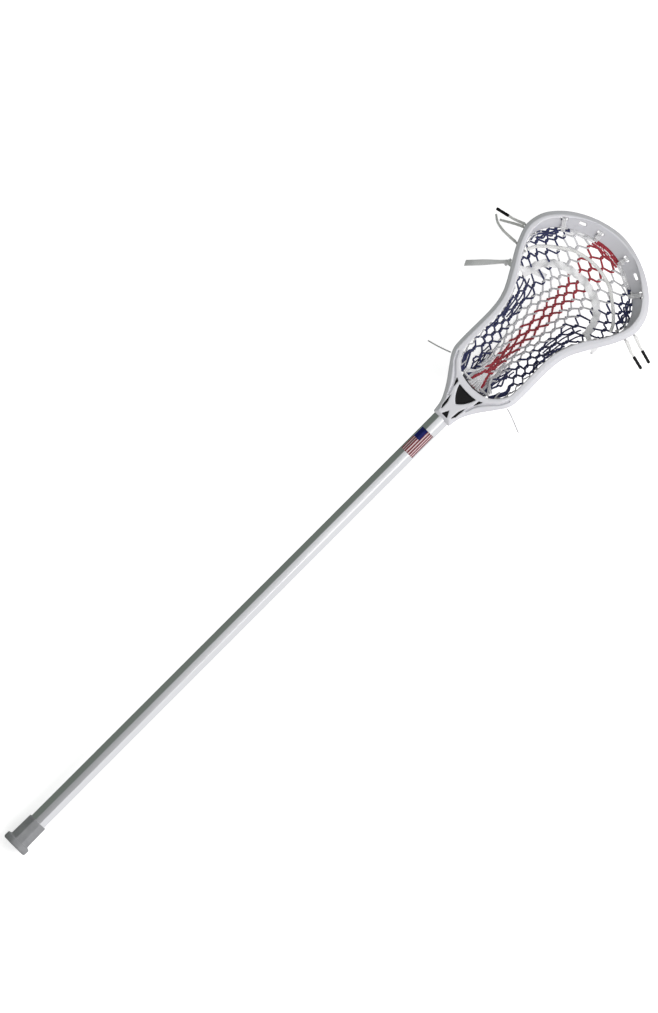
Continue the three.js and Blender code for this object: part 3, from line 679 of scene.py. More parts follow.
def shaft_octagon(growth):
    """The shaft's section, grown outwards, as (Y, Z) corners."""
    a, b = SHAFT_WIDTH / 2 + growth, SHAFT_HEIGHT / 2 + growth
    c = SHAFT_CHAMFER + growth * (2 - math.sqrt(2))
    half = [(a - c, -b), (a, -b + c), (a, b - c), (a - c, b)]
    return [(-a + c, -b)] + half + [(-a + c, b), (-a, b - c), (-a, -b + c)]


def hole_places():
    """X and Z of each string hole, along the middle of the back rail."""
    for i in range(STRING_HOLES):
        x = STRING_HOLE_START + i * STRING_HOLE_PITCH
        yield x, (value_at(BACK_RAIL_UPPER, x) + value_at(BACK_EDGE, x)) / 2


def badge_outline(margin):
    """A triangle with bowed sides, its apex towards the shaft."""
    def arc(start, bend, end):
        t = np.linspace(0, 1, 12)[:-1, None]
        return (1 - t) ** 2 * np.array(start) + 2 * t * (1 - t) * np.array(bend) + t * t * np.array(end)
    apex = (750 - 1.4 * margin, 0)
    low, high = (770 + margin, -13.5 - 1.4 * margin), (770 + margin, 13.5 + 1.4 * margin)
    return np.vstack([arc(apex, (756, -9 - margin), low), arc(low, (768 + margin, 0), high),
                      arc(high, (756, 9 + margin), apex)])


def walls_field(axes, x, z):
    """The walls, the scoop and the throat, with a long window between the rails on each side."""
    outer, rim, scoop = (section_field(catmull(mirrored(half), 6), axes)
                         for half in (HEAD_OUTER, RIM_INNER, SCOOP_INNER))
    rise = np.clip((z - SCOOP_LOWER_Z) / (SCOOP_UPPER_Z - SCOOP_LOWER_Z), 0, 1)
    opening = scoop + (rim - scoop) * rise
    steep = np.clip((scoop - rim) / 18.0, 0, 1)
    opening = opening * (1 - 0.3 * steep * ((z > SCOOP_LOWER_Z) & (z < SCOOP_UPPER_Z)))
    face, back = value_at(FACE_EDGE, x), value_at(BACK_EDGE, x)
    face_lean, back_lean = (np.hypot(1, np.gradient(edge[:, 0, 0], axes[0]))[:, None, None]
                            for edge in (face, back))
    wall = bevelled(outer, (z - face) / face_lean, FACE_BEVEL)
    wall = both(wall, (back - z) / back_lean, 1.6)
    wall = both(wall, HEAD_START - x, 1.0)
    rails = both(wall, -opening, 1.3)
    window = np.vstack([catmull(FACE_RAIL_LOWER, 6), catmull(BACK_RAIL_UPPER[::-1], 6)])
    body = both(rails, -section_field(window, axes, SIDE), 1.4)
    thin = both(outer + STRUT_INSET, -(outer + STRUT_INSET + STRUT_THICKNESS), 1.8)
    for corners in STRUTS:
        body = either(body, both(thin, section_field(corners, axes, SIDE), 1.6), 2.4)
    return body


def throat_cuts(axes, x, y, z):
    """What is cut from the throat, each with the radius of its edges."""
    seam = np.hypot(line_distance(SEAM, axes) / 1.3, (z - value_at(FACE_EDGE, x)) / 3.2) - 1.0
    bore = np.hypot(x - SCREW_X, y)
    return [
        (np.maximum(section_field(shaft_octagon(0.3), axes, END), x - SHAFT_END - 0.3), 0.5),
        (np.maximum(section_field(badge_outline(0.3), axes), THROAT_TOP - BADGE_DEPTH - 0.3 - z), 0.4),
        (np.maximum(section_field(NOTCH, axes), 10 - z), 0.6),
        (np.maximum(section_field(SLIT, axes, both_sides=True), 9.5 - z), 0.8),
        (np.maximum(section_field(HOLLOW, axes, both_sides=True), z - 10), 1.0),
        (np.maximum(section_field(WINDOW, axes, SIDE), 9.9 - abs(y)), 0.8),
        (seam, 0.4),
        (np.maximum(section_field(NICK, axes, both_sides=True), 14.6 - z), 0.5),
        (np.maximum(bore - 2, z + 10), 0.3),
        (np.maximum(bore - SCREW_HEAD_RADIUS - 0.4, z + 16), 0.4),
    ]


def head_field(axes, x, y, z):
    body = walls_field(axes, x, z)
    for cut, radius in throat_cuts(axes, x, y, z):
        body = both(body, -cut, radius)
    for hx, hz in hole_places():
        near = slice(*np.searchsorted(axes[0], (hx - 5, hx + 5)))
        body[near] = both(body[near], STRING_HOLE_RADIUS - np.hypot(x[near] - hx, z - hz), 0.5)
    for sx, sy, turn in SCOOP_SLOTS:
        near = (slice(*np.searchsorted(axes[0], (sx - SLOT_NEAR, sx + SLOT_NEAR))),
                slice(*np.searchsorted(axes[1], (sy - SLOT_NEAR, sy + SLOT_NEAR))))
        c, s = math.cos(math.radians(turn)), math.sin(math.radians(turn))
        along, across = x[near[0]] - sx, y[:, near[1]] - sy
        slot = both(abs(along * c + across * s) - SLOT_LENGTH / 2,
                    abs(across * c - along * s) - SLOT_WIDTH / 2, 0.8)
        body[near] = both(body[near], -slot, 0.6)
    return body


field_piece("head_shell", (HEAD_START - 2, -95, -54), (1038, 95, 20.5), FINE, head_field, "head",
            "head_frame")

# ---- shaft, end cap and fittings ---------------------------------------------------------------


def rounded_section(corners, radius, steps=4):
    """The outline of a convex polygon with its corners rounded."""
    corners = np.asarray(corners, float)
    outline = []
    for before, corner, after in zip(np.roll(corners, 1, 0), corners, np.roll(corners, -1, 0)):
        a, b = unit(before - corner), unit(after - corner)
        trim = radius / math.tan(math.acos(np.clip(np.dot(a, b), -1, 1)) / 2)
        start, end = corner + a * trim, corner + b * trim
        for t in np.linspace(0, 1, steps):
            outline.append((1 - t) ** 2 * start + 2 * t * (1 - t) * corner + t * t * end)
    return np.array(outline)


def ring_at(section, x):
    return np.column_stack([np.full(len(section), float(x)), section])


def make_shaft():
    def ring(growth, x):
        return ring_at(rounded_section(shaft_octagon(growth), 0.9), x)

    low, high = SHAFT_START + 0.3, SHAFT_END - 0.3
    rings = [ring(-SHAFT_WALL, high), ring(-SHAFT_WALL, low), ring(-0.3, SHAFT_START)]
    rings += [ring(0, x) for x in np.linspace(low, high, 40)] + [ring(-0.3, SHAFT_END)]
    size, last = len(rings[0]), (len(rings) - 1) * len(rings[0])
    closing = [(last + i, last + (i + 1) % size, (i + 1) % size, i) for i in range(size)]
    piece("shaft_tube", np.vstack(rings), quads(len(rings), size) + closing, "shaft", ["shaft"])


make_shaft()

CAP_RADIUS, CAP_EDGE, CAP_LIP, CAP_FLANGE = 19.0, 3.0, 2.0, 9.0
COLLAR_START, COLLAR_END, COLLAR_WALL = 13.0, 41.0, 2.2
CAP_BACK = [(0.01, 0), (8, 0), (13, 0), (14.5, 0), (15, 0.35), (15.5, 0.02), (16, 0)]


def make_end_cap():
    def collar(growth):
        return rounded_section(shaft_octagon(growth), 2.2, 10)

    def disc(radius):
        return unit(base) * radius

    base, inside = collar(COLLAR_WALL), rounded_section(shaft_octagon(0.25), 1.0, 10)
    edge, lip = CAP_RADIUS - CAP_EDGE, CAP_RADIUS - CAP_LIP
    sections = [(disc(radius), x) for radius, x in CAP_BACK]
    for a in np.linspace(0, np.pi / 2, 7)[1:]:
        sections.append((disc(edge + CAP_EDGE * math.sin(a)), CAP_EDGE - CAP_EDGE * math.cos(a)))
    for a in np.linspace(0, np.pi / 2, 6):
        sections.append((disc(lip + CAP_LIP * math.cos(a)), CAP_FLANGE - CAP_LIP + CAP_LIP * math.sin(a)))
    for t in np.linspace(0, 1, 7)[1:]:
        blend = 1 - (1 - t) ** 2
        sections.append((disc(lip) * (1 - blend) + base * blend, CAP_FLANGE + 2.6 * t * t))
    for x in np.linspace(COLLAR_START, COLLAR_END - 1.0, 12):
        taper = (x - COLLAR_START) / (COLLAR_END - COLLAR_START)
        sections.append((collar(COLLAR_WALL - 0.45 * taper), x))
    sections += [(collar(COLLAR_WALL - 0.7), COLLAR_END - 0.3), (collar(COLLAR_WALL - 1.2), COLLAR_END),
                 (inside, COLLAR_END - 0.1), (inside, SHAFT_START - 0.25),
                 (disc(0.01), SHAFT_START - 0.25)]
    rings = [ring_at(section, x) for section, x in sections]
    faces = [face[::-1] for face in quads(len(rings), len(base))]
    piece("cap_body", np.vstack(rings), faces, "cap", ["end_cap"])


make_end_cap()


def badge_field(axes, x, y, z):
    plan, half = section_field(badge_outline(0), axes), BADGE_DEPTH / 2 - 0.15
    plate = both(plan, abs(z - (THROAT_TOP - 0.3 - half)) - half, 0.5)
    lip = np.maximum(plan + 1.6, THROAT_TOP - 0.75 - z)
    return both(plate, -lip, 0.25)


def recess_shade_field(axes, x, y, z):
    """Black fillings of the throat's slits, notch and the nicks beside the badge: painted shade that makes
    these recesses dark.
    """
    fillings = [(SLIT, 12.1, 2.4), (NOTCH, 12.6, 2.4), (NICK, 15.2, 0.8)]
    return np.minimum.reduce([
        np.maximum(section_field(outline, axes, both_sides=True) + 0.12, abs(z - middle) - half)
        for outline, middle, half in fillings
    ])


PAD_RADIUS, PAD_HALF_ANGLE, PAD_HALF, PAD_GAP = 46.6, 0.42, 0.75, 0.3


def pad_field(axes, x, y, z):
    centre = 777 + PAD_RADIUS
    band = abs(np.hypot(x - centre, y) - (PAD_RADIUS - PAD_GAP - PAD_HALF)) - PAD_HALF
    angle = (np.abs(np.arctan2(y, centre - x)) - PAD_HALF_ANGLE) * PAD_RADIUS
    return both(both(band, angle, 0.5), np.maximum(z - 6, -28 - z), 0.5)


def screw_field(axes, x, y, z):
    """A pan head with a cross in it, and its shank."""
    radius = np.hypot(x - SCREW_X, y)
    head = both(radius - SCREW_HEAD_RADIUS, abs(z + 17.75) - 1.45, 0.9)
    shank = both(radius - 1.6, np.maximum(z + 6.4, -17 - z), 0.4)
    u, v = abs(x - SCREW_X), abs(y)
    cross = np.minimum(np.maximum(u - 0.5, v - 2.2), np.maximum(v - 0.5, u - 2.2))
    return both(either(head, shank, 0.3), -np.maximum(cross, z + 18.0), 0.15)


field_piece("badge_plate", (746, -17, 14), (774, 17, 19), 0.35, badge_field, "black", "throat_badge")
# Black fillings in the throat's recesses, as painted shade.
field_piece("throat_recess_shade", (728, -25, 9), (777, 25, 17.5), 0.4, recess_shade_field, "black")
pad = field_piece("pad_strip", (775, -22, -30), (788, 22, 8), 0.5, pad_field, "foam", "ball_stop_pad")
field_piece("screw", (SCREW_X - 5, -5, -20.5), (SCREW_X + 5, 5, -5), 0.22, screw_field, "steel",
            "head_screw")

DECAL_START, DECAL_END, DECAL_REACH, DECAL_COLUMNS = 667.0, 703.0, 8.7, 9
DECAL_SWELL = 1 + 0.4 / SHAFT_HEIGHT


def make_decal():
    """A thin film laid over the shaft's upper flat and part of both chamfers."""
    corners = shaft_octagon(0.32)
    section, chamfer_sum = rounded_section(corners, 1.1, 5), sum(corners[3])
    over = [(side * y, chamfer_sum - y) for side in (-1, 1) for y in (DECAL_REACH, DECAL_REACH - 2)]
    keep = np.concatenate([section[section[:, 1] > SHAFT_HEIGHT / 2 - 1.5], over])
    keep = keep[np.argsort(keep[:, 0])]
    share, size, points, uvs = distances(keep) / distances(keep)[-1], len(keep), [], []
    for swell, inset in ((1.0, 0.0), (DECAL_SWELL, 0.05)):
        for x in np.linspace(DECAL_START, DECAL_END, DECAL_COLUMNS):
            points.append(ring_at(keep * swell, np.clip(x, DECAL_START + inset, DECAL_END - inset)))
            uvs += [(x - DECAL_START, v) for v in share]
    layer = DECAL_COLUMNS * size
    at = np.arange(layer).reshape(DECAL_COLUMNS, size)
    faces = []
    for a in at[:-1, :-1].ravel().tolist():
        b, c, d = a + 1, a + size + 1, a + size
        faces += [(b, c, d, a), (a + layer, d + layer, c + layer, b + layer)]
    rim = np.concatenate([at[0], at[1:, -1], at[-1, -2::-1], at[-2:0:-1, 0]]).tolist()
    faces += [(a, b, b + layer, a + layer) for a, b in zip(rim, rim[1:] + rim[:1])]
    piece("decal_strip", np.vstack(points), faces, "decal", ["shaft_decal"], uvs=uvs)


make_decal()

# ---- netting -----------------------------------------------------------------------------------
# The pocket is a knotless net: neighbouring strands twist together at joints that lie on lines
# running from the ball stop to the scoop, each strand going to and fro between two lines.

STRANDS, ROWS = 18, 21
RED_SHARE, WHITE_SHARE = 2 / 9, 5 / 9
RED_HALF = [(787, 2.6), (797, 3.4), (805, 4.2), (815, 4.5), (827, 5.1), (849, 6.6), (874, 9.0), (898, 9.9),
            (938, 10.8), (958, 13.5), (977, 17.4), (995, 20.4), (1006, 21)]
WHITE_HALF = [(787, 7.5), (797, 10), (808, 13.5), (824, 15.6), (841, 16.4), (863, 21), (886, 25.2),
              (918, 25.8), (934, 30.5), (946, 35.6), (956, 39.6), (975, 45.6), (994, 52.8), (1006, 54)]
EDGE_SPREAD = [(787, 2.2), (815, 1.0), (900, 1.0), (935, 0.8), (975, 0.8)]
POCKET_HALF = [(787, 21.5), (797, 29.4), (812, 35), (862, 36), (886, 40), (910, 50.6), (934, 66.5),
               (950, 73), (966, 72.5), (980, 64), (990, 52), (996, 41.5), (1001.5, 27)]
WALL_GAP, FULL_WIDTH_X, FULL_HALF = 1.9, 958, 76.0
POCKET_EDGE = [(787, -34), (805, -35), (829, -41), (853, -44.3), (877, -45.6), (902, -44), (926, -39.5),
               (951, -35.5), (975, -35), (1001.5, -36.5)]
POCKET_MIDDLE = [(787, -41), (801, -46), (817, -60), (829, -72), (841, -84), (853, -94), (866, -100.5),
                 (881, -103.2), (900, -99.5), (914, -90), (927, -77.5), (939, -65), (951, -53.5),
                 (963, -46.5), (982, -42), (1001.5, -38.5)]
MIDDLE_ROWS = [784.5, 794, 804.5, 815.5, 827, 838, 850, 861.5, 873.5, 885.5, 898, 908.5, 918.5, 928, 938,
               947.5, 958, 968.5, 978.5, 989, 999, 1006]
EDGE_ROWS = [794.5, 804.5, 814, 824.5, 834, 843, 852.5, 861, 870.5, 884, 896, 908.5, 919, 929.5, 938.5,
             947.5, 957, 967, 976, 984.5, 992, 997]
EDGE_FROM = 0.67
STRAND_RADIUS, RED_RADIUS, TAIL_RADIUS = 1.2, 1.35, 0.85
JOINT_HALF, JOINT_SHARE, JOINT_TWIST, JOINT_POINTS = 4.6, 0.34, 1.2, 5
FLOOR_GAP = 2.6
CAP_LOW = (6.0, -19.0)
random = np.random.default_rng(7)


def ground_z(x):
    """The height of the floor under the stick at X."""
    return CAP_LOW[1] - (x - CAP_LOW[0]) * REST_SLOPE


def net_across(x, v):
    """Y of the line v, from -1 to 1, at X: the colours bunch and spread along the pocket."""
    share = abs(v)
    red, white = value_at(RED_HALF, x), value_at(WHITE_HALF, x)
    outer = np.where(x < FULL_WIDTH_X, value_at(SCOOP_INNER, x) - WALL_GAP, FULL_HALF)
    inner = np.interp(share, (0, RED_SHARE), (0, 1))
    middle = np.interp(share, (RED_SHARE, WHITE_SHARE), (0, 1))
    edge = np.interp(share, (WHITE_SHARE, 1), (0, 1)) ** value_at(EDGE_SPREAD, x)
    return np.sign(v) * (red * inner + (white - red) * middle + (outer - white) * edge)


def net_z(x, y):
    edge, middle = value_at(POCKET_EDGE, x), value_at(POCKET_MIDDLE, x)
    share = np.clip(np.abs(y) / value_at(POCKET_HALF, x), 0, 1)
    return np.maximum(edge + (middle - edge) * (1 - share ** 3), ground_z(x) + FLOOR_GAP)


def line_shares():
    """From -1 to 1, where each line of joints lies across the net."""
    return [(j - STRANDS / 2) / (STRANDS / 2) for j in range(STRANDS + 1)]


def net_joints():
    """The joints' places, as an array of line, row and coordinate."""
    middle, edge = np.array(MIDDLE_ROWS), np.array(EDGE_ROWS)
    lines = []
    for v in line_shares():
        x = middle + (edge - middle) * min(1, abs(v) / EDGE_FROM)
        y = net_across(x, v)
        line = np.column_stack([x, y, y])
        loose = random.uniform(-1, 1, (ROWS + 1, 2)) * (0.35 + 0.6 * abs(v))
        line[1:-1, :2] += loose[1:-1] * (1, 0.8 if abs(v) < 1 else 0.2)
        line[:, 2] = net_z(line[:, 0], line[:, 1])
        lines.append(line)
    return np.array(lines)


def strand_path(a, joints, joint_half, twist):
    """The way of strand a through its joints, twisting once round its neighbour at each."""
    path = []
    lines, rows = joints.shape[:2]
    for i in range(rows):
        j, side = (a, 1) if (i + a + STRANDS // 2) % 2 == 0 else (a + 1, -1)
        along = joints[j, min(i + 1, rows - 1)] - joints[j, max(i - 1, 0)]
        half = min(joint_half, np.linalg.norm(along) / 2 * JOINT_SHARE)
        along = unit(along)
        lateral = joints[min(j + 1, lines - 1), i] - joints[max(j - 1, 0), i]
        lateral = unit(lateral - along * np.dot(lateral, along))
        normal = np.cross(along, lateral)
        for q in range(JOINT_POINTS):
            turn = q / (JOINT_POINTS - 1) * 2 * np.pi
            offset = lateral * math.cos(turn) + normal * math.sin(turn)
            path.append(joints[j, i] + along * half * (q / 2 - 1) + side * twist * offset)
    return path


def strand_mark(a):
    """0 red, 1 white or 2 navy."""
    distance = abs(a - (STRANDS - 1) / 2)
    return int(distance > RED_SHARE * STRANDS / 2) + int(distance > WHITE_SHARE * STRANDS / 2)


def net_strand(bundle, path, mark, radius=STRAND_RADIUS):
    bundle.add(tube(catmull(path, 2), radius, 8, ridges=2, ridge=0.10, pitch=4.0), mark)


def top_string_line():
    """Along the scoop's inner edge, through its last four points."""
    return catmull(mirrored([(x - 2.2, y * 0.98, -36.4) for x, y in SCOOP_INNER[-4:]]), 8)


CORNER_STRANDS, CORNER_ROWS, CORNER = 2, 2, (783.6, 24.5, -33.0)
FORK_END, FORK_HALF, FORK_LIFT = 806.0, 6.4, 1.6
TOP_REACH = 16.0


def fork(point, side, lift):
    """The strands part in two bundles where they near the ball stop, the red ones on top."""
    t = np.clip((FORK_END - point[0]) / (FORK_END - MIDDLE_ROWS[0]), 0, 1)
    share = t * t * (3 - 2 * t)
    return point + np.array([0, side * FORK_HALF * share, lift * min(1, 2 * t)])


def pocket_strand(a, joints, top):
    """Strand a from the ball stop to the top string."""
    path, mark = strand_path(a, joints, JOINT_HALF, JOINT_TWIST), strand_mark(a)
    place, side = min(a, STRANDS - 1 - a), -1 if a < STRANDS / 2 else 1
    end = path[-1]
    near = top[np.argmin(np.linalg.norm(top - end, axis=1))]
    if np.linalg.norm(near - end) < TOP_REACH:
        path += [near * 0.5 + end * 0.5 + (0, 0, 1.2), near + (-0.2, 0, 1.75), near + (0.8, 0, 0.2)]
    if place < CORNER_STRANDS:
        lead = [(CORNER[0], side * (CORNER[1] - 2.4 * place), CORNER[2] - 3 * place),
                (802.5, side * (34.4 - 2.0 * place), -36.5)]
        return [np.array(point) for point in lead] + path[JOINT_POINTS * CORNER_ROWS:]
    lift = 0.0 if mark else FORK_LIFT
    x, y = MIDDLE_ROWS[0], net_across(MIDDLE_ROWS[0], (a + 0.5) * 2 / STRANDS - 1)
    x, y, z = fork(np.array([x, y, net_z(x, y)]), side, lift)
    lead = [(x - 1.4, y * 0.98, -42.0), (x, y, z - 0.4), (x + 3.0, y * 0.96, z)]
    return [np.array(point) for point in lead] + [fork(point, side, lift) for point in path[JOINT_POINTS:]]


def add_gathers(bundle):
    """Strands gathered along the top string: red in the middle, navy in the scoop's corners."""
    for k, (x, half) in enumerate([(1004.6, 20.5), (1007.4, 19), (1009.6, 18), (1011.6, 17)]):
        y = np.linspace(-half, half, 17)
        wave = 0.5 * np.sin(y * 0.9 + k * 2.2)
        z = net_z(np.minimum(x, 1001.5), y) + 2.4 + wave
        net_strand(bundle, np.column_stack([x - 0.004 * y * y + wave * 0.7, y, z]), 0, RED_RADIUS)
    corner = [(952, 77), (962, 76.5), (974, 70), (986, 60), (996, 48)]
    for side in (-1, 1):
        for k, (first, last) in enumerate([(954, 994), (960, 984), (957, 976)]):
            t = np.linspace(0, 1, 10)
            x = first + (last - first) * t
            wave = 1.5 * np.sin(t * (9 + 2 * k) + k * 2.5)
            y = value_at(corner, x) - 1.6 - 2.6 * k + wave
            net_strand(bundle, np.column_stack([x, side * y, net_z(x, y) + 1.4 + wave * 0.5]), 2)
        for k in range(3 if side > 0 else 2):
            path = [(784.4, side * (25.6 - 1.3 * k), -31.5 - k),
                    (791, side * (29.6 - 3.2 * k), -33.0 - k % 2),
                    (799, side * (34.2 - 3.5 * k), -35.6 + k), (807, side * (37.4 - 3.0 * k), -36.5)]
            net_strand(bundle, path, 2)


def add_waist(bundle):
    """Strands drawn lengthwise where the pocket narrows, and the net's edge along the walls."""
    for side in (-1, 1):
        for k, (v, first, last) in enumerate([(0.66, 872, 914), (0.78, 868, 920), (0.89, 864, 918)]):
            x = np.linspace(first, last, 14)
            y = net_across(x, v) + 0.45 * np.sin(x * 0.29 + k * 2.1)
            z = net_z(x, y) + 1.4 + 0.6 * np.sin(x * 0.3 + k)
            net_strand(bundle, np.column_stack([x, side * y, z]), 2, STRAND_RADIUS * 0.8)
        x = np.linspace(838, 892, 19)
        y = value_at(SCOOP_INNER, x) - 2.3 - 1.1 * np.sin(x * 0.55) ** 2
        net_strand(bundle, np.column_stack([x, side * y, net_z(x, y) + 1.4 + 0.8 * np.sin(x * 0.7)]), 2)


def make_pocket():
    joints, top, bundle = net_joints(), top_string_line(), Bundle()
    for a in range(STRANDS):
        mark = strand_mark(a)
        net_strand(bundle, pocket_strand(a, joints, top), mark, STRAND_RADIUS if mark else RED_RADIUS)
    add_gathers(bundle)
    add_waist(bundle)
    net = bundle.piece("pocket_net", "net", "mesh_pocket")


make_pocket()

# The unused end of the netting, curled back under the pocket, as (x, z, half width).
TAIL = [(794, -44, 20), (781, -48, 19), (774.5, -62, 18), (783, -80, 19), (801, -88.5, 21),
        (826, -86, 24)]
TAIL_ROWS, TAIL_FLOOR_GAP, FRAY = 9, 1.9, 7.0
TAIL_JOINT_HALF, TAIL_TWIST = 2.2, 0.7


def make_tail():
    line = catmull(TAIL, 16)
    run = distances(line[:, :2])
    at = np.linspace(0.01, 0.93, TAIL_ROWS + 1) * run[-1]
    x, z, half = (np.interp(at, run, line[:, k]) for k in range(3))
    joints = np.empty((STRANDS + 1, TAIL_ROWS + 1, 3))
    for j, v in enumerate(line_shares()):
        ripple = 0.55 * np.sin(j * 1.9 + np.arange(TAIL_ROWS + 1) * 0.8)
        joints[j, :, 0] = x + ripple * 0.5
        joints[j, :, 1] = v * (half - 1.2) + random.uniform(-0.4, 0.4, TAIL_ROWS + 1)
        joints[j, :, 2] = z + ripple * 0.6
    joints[:, :, 2] = np.maximum(joints[:, :, 2], ground_z(joints[:, :, 0]) + TAIL_FLOOR_GAP)
    bundle = Bundle()
    for a in range(STRANDS):
        path = strand_path(a, joints, TAIL_JOINT_HALF, TAIL_TWIST)
        along = unit(path[-1] - path[-5])
        loose = np.array([0.15, 0.6, 0.5]) * random.uniform(-1, 1, 3)
        for step in (0.4, 0.8):
            path.append(path[-1] + (along + loose * 0.35) * FRAY * step * random.uniform(0.5, 1.0))
        net_strand(bundle, path, strand_mark(a), TAIL_RADIUS)
    tail = bundle.piece("net_tail", "net_end", "mesh_tail")


make_tail()

# ---- strings that hold the net -----------------------------------------------------------------


def make_sidewall_string(side, name):
    """It goes from the net's edge into each hole in the wall and back, with a hitch at the edge."""
    path = []
    for x, z in hole_places():
        inner, outer = value_at(SCOOP_INNER, x), value_at(HEAD_OUTER, x)
        edge_x = max(x - STRING_HOLE_PITCH / 2, 795)
        low = value_at(POCKET_EDGE, edge_x)
        path += [(edge_x - 1.6, inner - 3.4, low + 0.6), (edge_x + 0.2, inner - 2.4, low - 1.2),
                 (edge_x + 1.8, inner - 1.9, low + 0.4), (x - 0.8, inner - 0.9, z),
                 (x - 0.75, inner + 3.0, z), (x, outer - 2.0, z), (x + 0.75, inner + 3.0, z),
                 (x + 0.8, inner - 0.9, z)]
    path.append((972, value_at(SCOOP_INNER, 972) - 1.9, -35.5))
    path = catmull([(x, y * side, z) for x, y, z in path], 4)
    Bundle().add(twine(path, STRING_RADIUS * 0.95)).piece(f"{name}_cord", "string", name)


def make_top_string():
    """Three turns of string along the scoop's edge."""
    line, bundle = top_string_line(), Bundle()
    for k, shift in enumerate([(0, 0, 0), (-2.2, 0, 0.9), (2.0, 0, -0.7)]):
        turn = 0.35 * np.sin(np.linspace(0, 25, len(line)) + 2 * k)
        bundle.add(twine(line + shift + np.outer(turn, (1, 0, 0.6))))
    bundle.piece("top_string_cord", "cord", "top_string")


make_sidewall_string(1, "sidewall_string_left")
make_sidewall_string(-1, "sidewall_string_right")
make_top_string()

# Each loop on the scoop: its slot, how far inwards it reaches, and the Z where it starts.
LOOPS = [(0, 12, -12.4), (2, 8, -20), (3, 8, -20), (5, 12, -12.4)]
LOOP_EDGE_Z = -29.6


def make_scoop_loop(name, slot, reach, start_z):
    """Three turns of string from a slot down the scoop's ramp to the top string."""
    x, y, turn = SCOOP_SLOTS[slot]
    angle = math.radians(turn + 90)
    inward, start = np.array([math.cos(angle), math.sin(angle), 0]), np.array([x, y, 0.0])
    sideways, bundle = np.array([-inward[1], inward[0], 0]), Bundle()
    route = [(-0.6, start_z - 6), (-0.3, start_z - 1.5), (1.2, start_z + 0.9),
             (reach * 0.5, (start_z + LOOP_EDGE_Z) / 2 + 1.2), (reach, LOOP_EDGE_Z + 0.6),
             (reach + 3.2, -34.4), (reach + 2.4, -38.0), (reach + 0.2, -38.6)]
    for k in (-1, 0, 1):
        points = [start + inward * far + sideways * k * 1.75 + (0, 0, z) for far, z in route]
        bundle.add(twine(catmull(points, 6), STRING_RADIUS * 0.92))
    wrap_at = start + inward * reach * 0.92 + (0, 0, LOOP_EDGE_Z + 1.4)
    t = np.linspace(0, 2 * np.pi, 25)
    for k in (0, 1):
        ring = (wrap_at - inward * 1.7 * k + (0, 0, 1.2 * k) + np.outer(np.cos(t) * 3.3, sideways)
                + np.outer(np.sin(t) * 1.5, (0, 0, 1)))
        bundle.add(tube(ring, 0.7, 8))
    bundle.piece(f"{name}_cords", "cord", name)


for loop_number, loop in enumerate(LOOPS, 1):
    make_scoop_loop(f"scoop_loop_{loop_number}", *loop)


def make_bottom_string():
    """Two strands across the ball stop, with the net's first row on them."""
    bundle = Bundle()
    for lift, shift in ((0, 0), (1.5, 0.7)):
        half = [(784.6 + shift, 21, -36.5 + lift), (784 + shift, 12, -39 + lift),
                (784 + shift, 0, -40 + lift)]
        bundle.add(twine(catmull(mirrored(half), 8)))
    for side in (-1, 1):
        for k in range(3):
            path = [(785 + 2.4 * k, side * (20 + 0.8 * k), -36 + k),
                    (792 + 2 * k, side * (14 - k), -37.5 + k * 0.6),
                    (801 + k, side * (10 - 0.6 * k), -41.5 + k * 0.4)]
            bundle.add(twine(catmull(path, 8)))
    for k in range(5):
        y = (k - 2) * 2.7
        path = [(780.4, y * 1.2, -34.0), (785.5, y * 1.05, -37.4), (792, y * 0.7, -39.6),
                (798.5, y * 0.35, -43.0), (803, y * 0.2, -46.6)]
        bundle.add(tube(catmull(path, 8), STRING_RADIUS * 1.5, 12, ridges=3, ridge=0.04, pitch=6.0))
    bundle.piece("bottom_string_cords", "cord", "bottom_string")


make_bottom_string()

SHOOTING_LACE = [(943, 70.5), (952, 66), (962, 56.4), (970.5, 46), (980, 32), (985, 17), (987, 0)]
SHOOTING_STRAP = [(918, 53), (934, 50), (946, 44), (956, 32), (962.5, 14), (964, 0)]
STRAP_UNDER = [(924, 55), (930, 47), (933.5, 38), (935.5, 31)]
STRAP_KNOT = (913.0, -73.4, -41.0)
LACE_BEAT, STRAP_BEAT = 9.5, 10.5


def round_the_wall(end, points):
    """A smooth route through points given for the +Y side, to the start of a free end."""
    side = math.copysign(1, end[1])
    return catmull([(x, y * side, z) for x, y, z in points] + [end], 8)


def under_the_rail(end):
    """From the net's edge under the back rail to the start of a free end."""
    x, low = end[0], value_at(BACK_EDGE, end[0])
    inner, outer = value_at(SCOOP_INNER, x), value_at(HEAD_OUTER, x)
    return round_the_wall(end, [
        (x, inner - 4.0, low + 7), (x, inner - 1.7, low + 1), (x, (inner + outer) / 2, low - 1.6),
        (x, outer + 1.3, low + 1.2), (x, abs(end[1]) - 1.2, end[2] - 0.6),
    ])


def over_the_rail(end):
    """From the net's edge over the back rail, through the side window, to a free end."""
    x, high = end[0], value_at(BACK_RAIL_UPPER, end[0])
    inner, outer = value_at(SCOOP_INNER, x), value_at(HEAD_OUTER, x)
    return round_the_wall(end, [
        (x + 8, inner - 5, high - 5.5), (x + 6.5, inner, high - 2.5), (x + 5, inner + 2.6, high + 1.3),
        (x + 3, (inner + outer) / 2 + 1, high + 2.0), (x + 0.8, outer - 0.2, high + 1.0),
    ])


def make_shooting_lace():
    """A lace woven over and under the net's strands, tied round both walls."""
    plan = catmull(mirrored(SHOOTING_LACE), 14)
    z = net_z(*plan.T) + 2.3 + 0.9 * np.sin(distances(plan) / LACE_BEAT * np.pi)
    bundle = Bundle().add(flat_lace(np.column_stack([plan, z]), 2.15, 0.5, up=(0, 0, 1)))
    for route in LACE_ENDS.values():
        bundle.add(flat_lace(under_the_rail(route[0]), LACE_RADIUS * 0.9, 0.72))
    bundle.piece("shooting_lace_braid", "lace", "shooting_lace")


